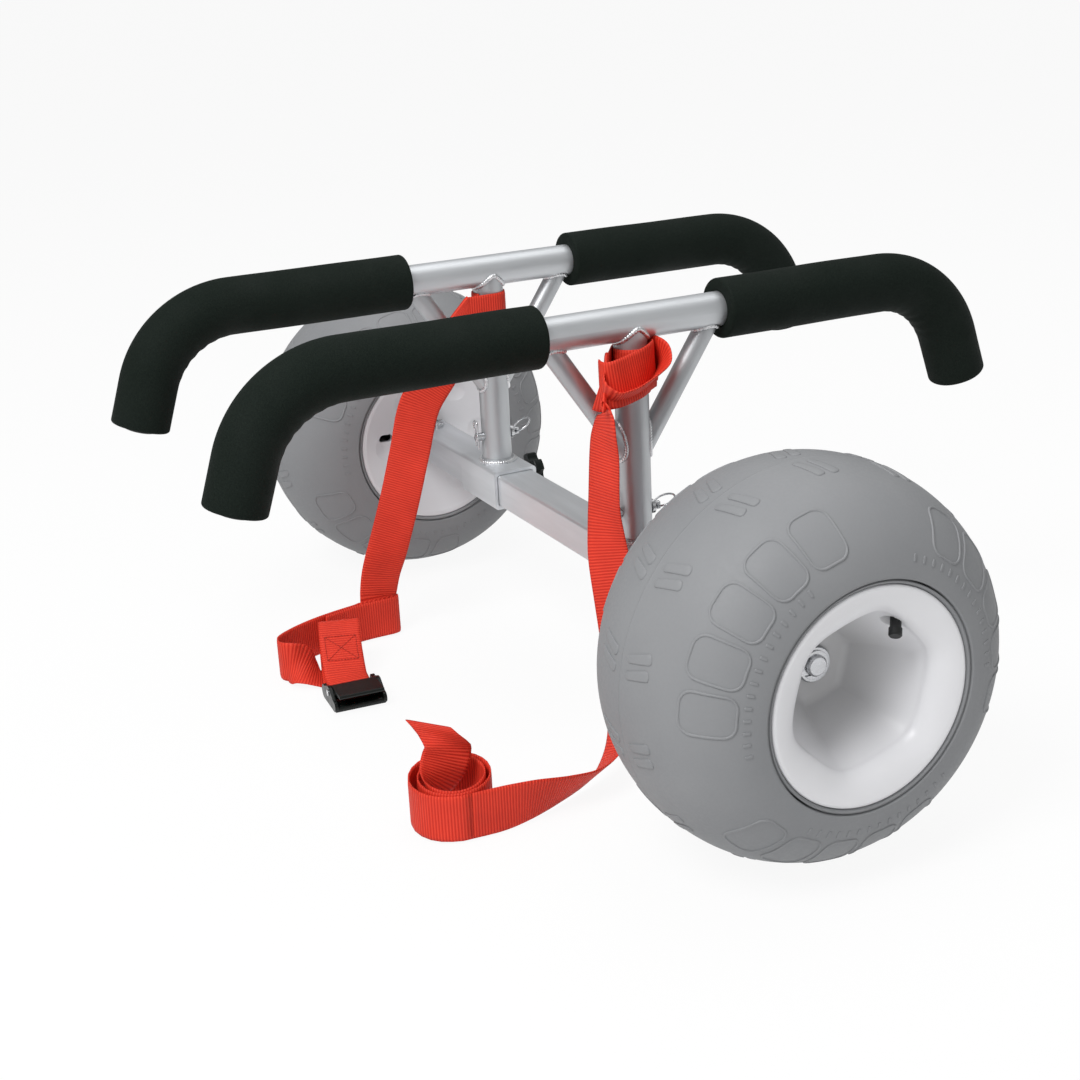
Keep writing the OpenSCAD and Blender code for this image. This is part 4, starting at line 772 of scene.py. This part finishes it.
# Rows of both straps: x, y, z in millimetres, then the direction of the width
RIGHT_HANG = [
    (161.5, -40, 289, -0.97, 0.22, 0), (164, -42.6, 275, -1, 0, 0),
    (164, -43.2, 256, -1, -0.15, 0), (165, -45.5, 219, -0.98, -0.2, 0),
    (167, -46, 195, -0.93, -0.35, 0), (172.5, -47, 171, -0.85, -0.52, 0),
    (182, -48, 140, -0.85, -0.52, 0), (192, -50, 110, -0.88, -0.45, 0),
    (201, -54, 83, -0.93, -0.3, -0.1), (209, -60, 58, -0.98, -0.1, -0.2),
    (217, -70, 34, -0.9, 0, -0.4), (225, -86, 21, -0.8, 0, -0.6),
    (232, -106, 17, -0.7, 0, -0.72), (238, -132, 17.8, -0.5, 0, -0.87),
    (241, -160, 19.3, -0.2, 0, -1), (241, -184, 19.3, 0, 0, -1)]
LEFT_HANG = [
    (-121, -48, 291, 0, 1, 0), (-122, -53, 272, 0, 1, 0), (-130, -77, 238, 0.4, 0.9, 0),
    (-142, -86, 191, 0.6, 0.8, 0), (-152, -96, 142, 0.6, 0.8, 0), (-161, -107, 97, 0.5, 0.85, 0),
    (-168, -115, 66, 0.2, 1, 0), (-170, -119, 44, 0, 1, 0)]
LEFT_LOOP = [
    (-167.5, -145, 20, 0, 0, 1), (-164, -170, 19.3, 0, 0, 1), (-157, -194, 19.3, 0, 0, 1),
    (-147, -216, 19.3, 0, 0, 1), (-135, -233, 19.3, 0, 0, 1), (-122, -236, 19.3, 0, 0, 1),
    (-113, -230, 19.3, -0.1, 0.05, 1), (-108, -221, 15.8, -0.6, 0.3, 0.75),
    (-104.5, -212.5, 7.7, -0.88, 0.3, 0.32)]
LEFT_END = [
    (-120, -179.5, 3.6, 0.3, 0.95, 0), (-128.5, -176.8, 6, 0.3, 0.95, 0),
    (-135, -174.5, 14, 0.3, 0.95, 0), (-137.5, -173.5, 27, 0.3, 0.95, 0),
    (-133.5, -174.5, 39, 0.3, 0.95, 0), (-122.5, -177.5, 45, 0.3, 0.95, 0),
    (-110, -182, 41, 0.25, 0.95, 0), (-97, -186, 31, 0.2, 1, 0), (-82, -190, 20.5, 0.1, 1, 0),
    (-71, -192.5, 13.5, 0.1, 1, 0), (-62, -193.5, 11.2, 0.1, 1, 0), (-57.3, -194, 8.6, 0.1, 1, 0),
    (-57.3, -194, 5.4, 0.1, 1, 0), (-61, -193.5, 2.9, 0.1, 1, 0), (-67, -192.8, 4.6, 0.1, 1, 0),
    (-75, -191, 10.8, 0.1, 1, 0), (-84, -189, 17.3, 0.1, 1, 0), (-96, -186, 26, 0.2, 1, 0)]
RIGHT_LEAVE, RIGHT_WRAP, RIGHT_RUN = 235, 325, 43 * MM
LEFT_FOLD = (-BUNK_X + WRAP_R, -46 * MM)
FLOOR_FOLD = np.array((-170 * MM, -121 * MM, WEB_MID + 1.4 * MM))
FLAT_FOLD = np.array((-96, -187, 1.2)) * MM
FOLD_TURN = math.radians(17)


def right_strap():
    """Hitch at the near post, the hang to the floor and the run to the coil."""
    a = math.radians(RIGHT_LEAVE)
    t, out = np.array((-math.sin(a), math.cos(a), 0)), np.array((math.cos(a), math.sin(a), 0))
    p = np.array((BUNK_X, 0, WRAP_Z)) + out * WRAP_R + t * RIGHT_RUN
    start = (*((p + out * FOLD_GAP - Z * (WEB_W / 2 + CLEAR)) / MM), *-t)
    end = (*(coil_point(0, COIL_R, WEB_MID) / MM), 0, 0, -1)
    return (wrap((BUNK_X, 0), RIGHT_LEAVE - RIGHT_WRAP, RIGHT_WRAP)
            + [section(p - t * (WEB_W / 2 + EASE), t, Z)] + fold(p, t, Z, -1, out)
            + band([start, *RIGHT_HANG, end]))


def left_strap():
    """Turn round the far post, the hang, the bundle on the floor and the buckle's end."""
    p, q, f = np.array((*LEFT_FOLD, WRAP_Z)), FLOOR_FOLD, FLAT_FOLD
    t = np.array((math.sin(FOLD_TURN), math.cos(FOLD_TURN), 0))
    w = np.array((-math.cos(FOLD_TURN), math.sin(FOLD_TURN), 0))
    return (wrap((-BUNK_X, 0), 300, -300) + [section(p + Y * (WEB_W / 2 + EASE), -Y, Z)]
            + fold(p, -Y, Z, -1, -X) + band(LEFT_HANG) + fold(q, -Z, Y, -1, X)
            + [section(q + X * FOLD_GAP - Y * (WEB_W / 2 + CLEAR), -Y, Z)] + band(LEFT_LOOP)
            + [section(f - t * (WEB_W / 2 + EASE), t, w)] + fold(f, t, w, 1, Z)
            + [section(f + w * (WEB_W / 2 + EASE) + Z * FOLD_GAP, w, t)] + band(LEFT_END))


# Outer turn of the far bundle, in the same rows
BUNDLE_TURN = [
    (-178.5, -124, 19.6, 0, 0, 1), (-178, -112, 19.6, 0, 0, 1), (-176.5, -102.5, 19.6, 0, 0, 1),
    (-172, -99, 19.6, 0, 0, 1), (-167.3, -101.5, 19.8, 0, 0, 1), (-165, -108, 20, 0, 0, 1),
    (-164.4, -121, 20.3, 0, 0, 1), (-164.2, -135, 20.2, 0, 0, 1), (-163.6, -148, 19.8, 0, 0, 1),
    (-161, -162, 19.5, 0, 0, 1), (-156.5, -178, 19.5, 0, 0, 1)]


def knot(rows):
    """Band round the near post, its rows in the axes of POST_VIEW."""
    return band([(*(np.array(row[:3]) @ POST_VIEW + X * BUNK_X / MM),
                  *(np.array(row[3:]) @ POST_VIEW)) for row in rows])


# The two crossing turns of the near hitch
HITCH_OVER = [
    (-25.5, 33, 312, 0, 0.1, 1), (-24.5, 41, 312, 0.05, 0, 1), (-20, 46, 312.5, 0.05, 0, 1),
    (-12, 45, 313.5, -0.1, 0, 1), (-3, 38, 315, -0.2, 0.05, 1), (6, 30, 317, -0.3, 0.2, 0.93),
    (14, 20, 319.5, -0.3, 0.5, 0.8), (18.5, 9, 320, -0.1, 0.3, 0.95), (18, -2, 318, 0, 0.1, 1),
    (13, -11.5, 316, 0, 0, 1), (5, -17, 315, 0, 0, 1)]
HITCH_UNDER = [
    (12, -13.5, 322, 0, 0.1, 1), (20.5, -4, 322, 0.1, 0.4, 0.9),
    (23.5, 7, 319.5, 0.3, 0.75, 0.6), (21, 18, 314.5, 0.3, 0.88, 0.35),
    (14.5, 28, 309.5, 0.1, 0.93, 0.35), (5, 36, 304.5, -0.1, 0.93, 0.35),
    (-5, 41.5, 301.5, -0.1, 0.9, 0.42), (-14, 45, 300.5, 0, 0.85, 0.52),
    (-21.5, 45.5, 303, 0.1, 0.7, 0.7), (-27, 40, 307, 0.2, 0.3, 0.93)]


def strap_mesh(sections, cols=14):
    """Closed band with thin selvedges, UVs 0..1 across and metres along, and its length."""
    outline = [(1 - 2 * k / cols, 1.0) for k in range(cols + 1)]
    outline += [(-1 + 2 * k / cols, -1.0) for k in range(cols + 1)]
    run = run_lengths([mid for mid, _, _ in sections])
    points, uvs = [], []
    for (mid, half, normal), far in zip(sections, run):
        for a, b in outline:
            thick = WEB_T / 2 * (SELVEDGE if abs(a) == 1 else 1.0)
            points.append(mid + half * a + normal * b * thick)
            uvs.append(((a + 1) / 2, far))
    n = len(outline)
    faces = grid_faces(len(sections), n)
    faces.append(tuple(range(n)))
    faces.append(tuple((len(sections) - 1) * n + k for k in range(n)))
    return points, faces, uvs, run[-1]


def strap(name, sections, body, rests, held, *nodes):
    """A sheet of webbing riding on a body, hiding the given nodes; the length it works out, its
    run or its area over its width where that is longer, is not used.
    """
    points, faces, uvs, run = strap_mesh(sections)
    o = piece(name, points, faces, "webbing", "webbing", body, uvs)
    if nodes:
        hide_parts(*nodes)
    area = sum(face.area for face in o.data.polygons) / 2
    float(max(run, area / WEB_W))


LEFT_SECTIONS = left_strap()
KNOT_RESTS = ["tail_webbing", "right_post"]
strap("buckle_webbing", LEFT_SECTIONS, "left_bunk", ["left_post", "buckle_frame"], "folded",
      "left_strap")
strap("tail_webbing", right_strap(), "right_bunk", ["right_post"], "hung", "right_strap")
strap("bundle_turn", band(BUNDLE_TURN), "left_bunk", ["buckle_webbing"], "folded")
strap("near_hitch_over", knot(HITCH_OVER), "right_bunk", KNOT_RESTS, "folded")
strap("near_hitch_under", knot(HITCH_UNDER), "right_bunk", KNOT_RESTS, "folded")
strap("rolled_webbing", coil(), "right_bunk", ["tail_webbing"], "folded", "right_strap_coil")


def tube_along(line, r, sides=10, closed=False):
    """Tube round a line of points, r a number or one number a point."""
    line = [np.asarray(p, float) for p in line]
    n = len(line)
    radii = r if hasattr(r, "__len__") else [r] * n
    points, up = [], None
    for i in range(n):
        a = line[(i - 1) % n] if closed or i else line[i]
        b = line[(i + 1) % n] if closed or i < n - 1 else line[i]
        t = unit(b - a)
        if up is None:
            up = unit(np.cross(t, (0.3, 0.5, 0.8)))
        up = unit(up - (up @ t) * t)
        side = np.cross(t, up)
        for c in circle_angles(sides):
            points.append(line[i] + (up * math.cos(c) + side * math.sin(c)) * radii[i])
    faces = grid_faces(n, sides, wrap_rows=closed)
    if not closed:
        faces += [tuple(range(sides)), tuple((n - 1) * sides + k for k in range(sides))]
    return points, faces


# Sewn box with a cross where the strap's end is stitched back over the buckle bar
STITCH, THREAD_R, STITCH_ARCH, STITCH_ENDS = 2.6 * MM, 0.32 * MM, 0.35 * MM, 0.12
SEAM, STITCH_ROWS = 0.75, 4


def web_point(sections, index, across, lift):
    """A place on the webbing: section number, -1..1 across and height over its middle."""
    i = int(index)
    u = index - i
    a, b = sections[i], sections[min(i + 1, len(sections) - 1)]
    mid, half, normal = (a[k] * (1 - u) + b[k] * u for k in range(3))
    return mid + half * across + unit(normal) * lift


def stitches(seams, sections, lift):
    """Rows of short arched threads between pairs of (section number, across)."""
    parts = []
    for (i0, a0), (i1, a1) in seams:
        p, q = web_point(sections, i0, a0, lift), web_point(sections, i1, a1, lift)
        n = max(2, int(np.linalg.norm(q - p) / STITCH))
        for k in range(n):
            u0, u1 = (k + STITCH_ENDS) / n, (k + 1 - STITCH_ENDS) / n
            line = []
            for m in range(STITCH_ROWS + 1):
                u = u0 + (u1 - u0) * m / STITCH_ROWS
                arch = STITCH_ARCH * math.sin(math.pi * m / STITCH_ROWS)
                line.append(web_point(sections, i0 + (i1 - i0) * u, a0 + (a1 - a0) * u,
                                      lift + math.copysign(arch, lift)))
            parts.append(tube_along(line, THREAD_R, 6))
    return join_meshes(parts)


def buckle_stitches():
    end = len(LEFT_SECTIONS) - 1
    first, last = end - 11 * BAND_STEPS + 2, end - 10 * BAND_STEPS + 4
    a, b, c, d = (first, -SEAM), (first, SEAM), (last, -SEAM), (last, SEAM)
    seams = [(a, b), (c, d), (a, c), (b, d), (a, d), (b, c)]
    return join_meshes([stitches(seams, LEFT_SECTIONS, side * WEB_T / 2) for side in (1, -1)])


piece("buckle_stitching", *buckle_stitches(), "thread", "webbing", "left_bunk")


# Weld beads: rippled runs in the corners where tubes meet
BRACE_R, COLLAR_R = 8.75 * MM, POST_R + 1.2 * MM
BRACE_TOP, BRACE_DROP = 80 * MM, 118 * MM
POST_BEAD, BRACE_BEAD, FOOT_BEAD, NUT_BEAD = 2.2 * MM, 1.9 * MM, 2.1 * MM, 1.5 * MM
NUT_R, CORNER, NUT_OUT = 9.2 * MM, 0.9 * MM, 0.8 * MM
BEAD_PITCH, BEAD_STEPS = 2.3 * MM, 6
WELD_TURNS = circle_angles(72)


def ripple(line, r):
    """Overlapping scales along a closed line, as a welder's bead shows."""
    line = [np.asarray(p, float) for p in (*line, line[0])]
    dist = run_lengths(line)
    total = max(6, round(dist[-1] / BEAD_PITCH)) * BEAD_STEPS
    fine, radii = [], []
    for k in range(total):
        s = dist[-1] * k / total
        fine.append([np.interp(s, dist, [p[c] for p in line]) for c in range(3)])
        phase = (k % BEAD_STEPS) / BEAD_STEPS
        radii.append(r * (0.86 + 0.22 * math.sqrt(max(0.0, 1 - (2 * phase - 1) ** 2))))
    return tube_along(fine, radii, closed=True)


def bunk_welds(x):
    """Beads under the bunk at the post, and at the top and foot of both braces."""
    post = []
    for a in WELD_TURNS:
        ox, oy = POST_R * math.cos(a), POST_R * math.sin(a)
        post.append((x + ox, oy, BUNK_Z - math.sqrt(BUNK_R ** 2 - ox ** 2)))
    parts = [ripple(post, POST_BEAD)]
    tilt = math.atan2(BRACE_TOP, BRACE_DROP)
    start = np.array((0, 0, BUNK_Z - BRACE_DROP))
    for d in (-1, 1):
        axis = np.array((0, d * math.sin(tilt), math.cos(tilt)))
        flat = np.array((0, d * math.cos(tilt), -math.sin(tilt)))
        top, foot = [], []
        for a in WELD_TURNS:
            off = BRACE_R * (math.cos(a) * X + math.sin(a) * flat)
            want_z = BUNK_Z - math.sqrt(BUNK_R ** 2 - off[0] ** 2)
            top.append(start + off + axis * (want_z - start[2] - off[2]) / axis[2] + X * x)
            want_y = d * math.sqrt(POST_R ** 2 - off[0] ** 2)
            foot.append(start + off + axis * (want_y - off[1]) / axis[1] + X * x)
        parts += [ripple(top, BRACE_BEAD), ripple(foot, BRACE_BEAD)]
    return join_meshes(parts)


def foot_welds(x):
    """Beads round the spigot's collar and round the nut behind the sleeve."""
    r, z = COLLAR_R + CORNER, SLEEVE_TOP + CORNER
    y = HIGH["right_sleeve"].y + NUT_OUT
    ring = [(x + r * math.cos(a), r * math.sin(a), z) for a in WELD_TURNS]
    nut = [(x + NUT_R * math.cos(a), y, AXLE_Z + NUT_R * math.sin(a)) for a in WELD_TURNS]
    return join_meshes([ripple(ring, FOOT_BEAD), ripple(nut, NUT_BEAD)])


for side, sign in SIDES.items():
    as_weld = ("weld", "weld_aluminium", f"{side}_bunk")
    beads = piece(f"{side}_bead_ripples", *bunk_welds(sign * BUNK_X), *as_weld)
    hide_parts(f"{side}_weld_beads")
    piece(f"{side}_foot_beads", *foot_welds(sign * BUNK_X), *as_weld)


# Floor, light and camera
FLOOR_HALF, FLOOR_Z, FLOOR_GLOW, WORLD_LEVEL = 30, -0.0012, 0.92, 0.33
# Lamps: name, place, aim, width in metres and power in watts
LAMPS = (("key", (0.9, -1.6, 2.3), (0.1, 0, 0.15), 1.2, 57),
         ("fill", (2.4, 0.6, 1.3), (0.3, 0, 0.15), 1.6, 3),
         ("top", (-0.3, 0.6, 2.8), (0, 0, 0.2), 2.0, 22))


def floor():
    """Pale floor that takes the shadow, with the background's white for camera and metal."""
    data = bpy.data.meshes.new("floor")
    ends = ((-1, -1), (1, -1), (1, 1), (-1, 1))
    corners = [(x * FLOOR_HALF, y * FLOOR_HALF, FLOOR_Z) for x, y in ends]
    data.from_pydata(corners, [], [(0, 1, 2, 3)])
    o = bpy.data.objects.new("floor", data)
    scene.collection.objects.link(o)
    m, t, b = material("floor", (0.90, 0.90, 0.90), 0.9)
    b.inputs["Specular IOR Level"].default_value = 0.1
    glow = add(t, "ShaderNodeEmission", Strength=1.0)
    glow.inputs["Color"].default_value = (1, 1, 1, 1)
    path = add(t, "ShaderNodeLightPath")
    seen = add(t, "ShaderNodeMath", operation="MAXIMUM")
    t.links.new(path.outputs["Is Camera Ray"], seen.inputs[0])
    t.links.new(path.outputs["Is Glossy Ray"], seen.inputs[1])
    part = add(t, "ShaderNodeMath", operation="MULTIPLY")
    part.inputs[1].default_value = FLOOR_GLOW
    t.links.new(seen.outputs[0], part.inputs[0])
    mix = add(t, "ShaderNodeMixShader")
    t.links.new(part.outputs[0], mix.inputs[0])
    t.links.new(b.outputs[0], mix.inputs[1])
    t.links.new(glow.outputs[0], mix.inputs[2])
    t.links.new(mix.outputs[0], t.nodes["Material Output"].inputs["Surface"])
    data.materials.append(m)


def lights():
    world = bpy.data.worlds.new("studio")
    scene.world = world
    world.use_nodes = True
    t = world.node_tree
    back = t.nodes["Background"]
    back.inputs["Color"].default_value = (1, 1, 1, 1)
    path = add(t, "ShaderNodeLightPath")
    level = add(t, "ShaderNodeMapRange")
    level.inputs["To Min"].default_value = WORLD_LEVEL
    level.inputs["To Max"].default_value = 1.0
    t.links.new(path.outputs["Is Camera Ray"], level.inputs["Value"])
    t.links.new(level.outputs["Result"], back.inputs["Strength"])

    for name, at, to, size, power in LAMPS:
        lamp = bpy.data.lights.new(name, "AREA")
        lamp.size, lamp.energy = size, power
        o = bpy.data.objects.new(name, lamp)
        o.location = at
        o.rotation_mode = "QUATERNION"
        o.rotation_quaternion = (Vector(to) - Vector(at)).to_track_quat("-Z", "Y")
        scene.collection.objects.link(o)


def camera():
    data = bpy.data.cameras.new("camera")
    data.sensor_width = SENSOR
    data.lens = FOCAL_PIXELS / IMAGE * SENSOR
    data.shift_x, data.shift_y = -CENTRE_PIXELS[0] / IMAGE, CENTRE_PIXELS[1] / IMAGE
    data.clip_start, data.clip_end = 0.05, 100
    o = bpy.data.objects.new("camera", data)
    a, e, roll = (math.radians(v) for v in (CAMERA_AZIMUTH, CAMERA_ELEVATION, CAMERA_ROLL))
    right = Vector((math.cos(a), math.sin(a), 0))
    ahead = Vector((-math.sin(a) * math.cos(e), math.cos(a) * math.cos(e), -math.sin(e)))
    up = right.cross(ahead)
    c, s = math.cos(roll), math.sin(roll)
    turn = Matrix((right * c + up * s, up * c - right * s, -ahead)).transposed()
    o.matrix_world = Matrix.Translation(CAMERA_AT) @ turn.to_4x4()
    scene.collection.objects.link(o)
    scene.camera = o


floor()
lights()
camera()
scene.view_settings.view_transform = "Standard"
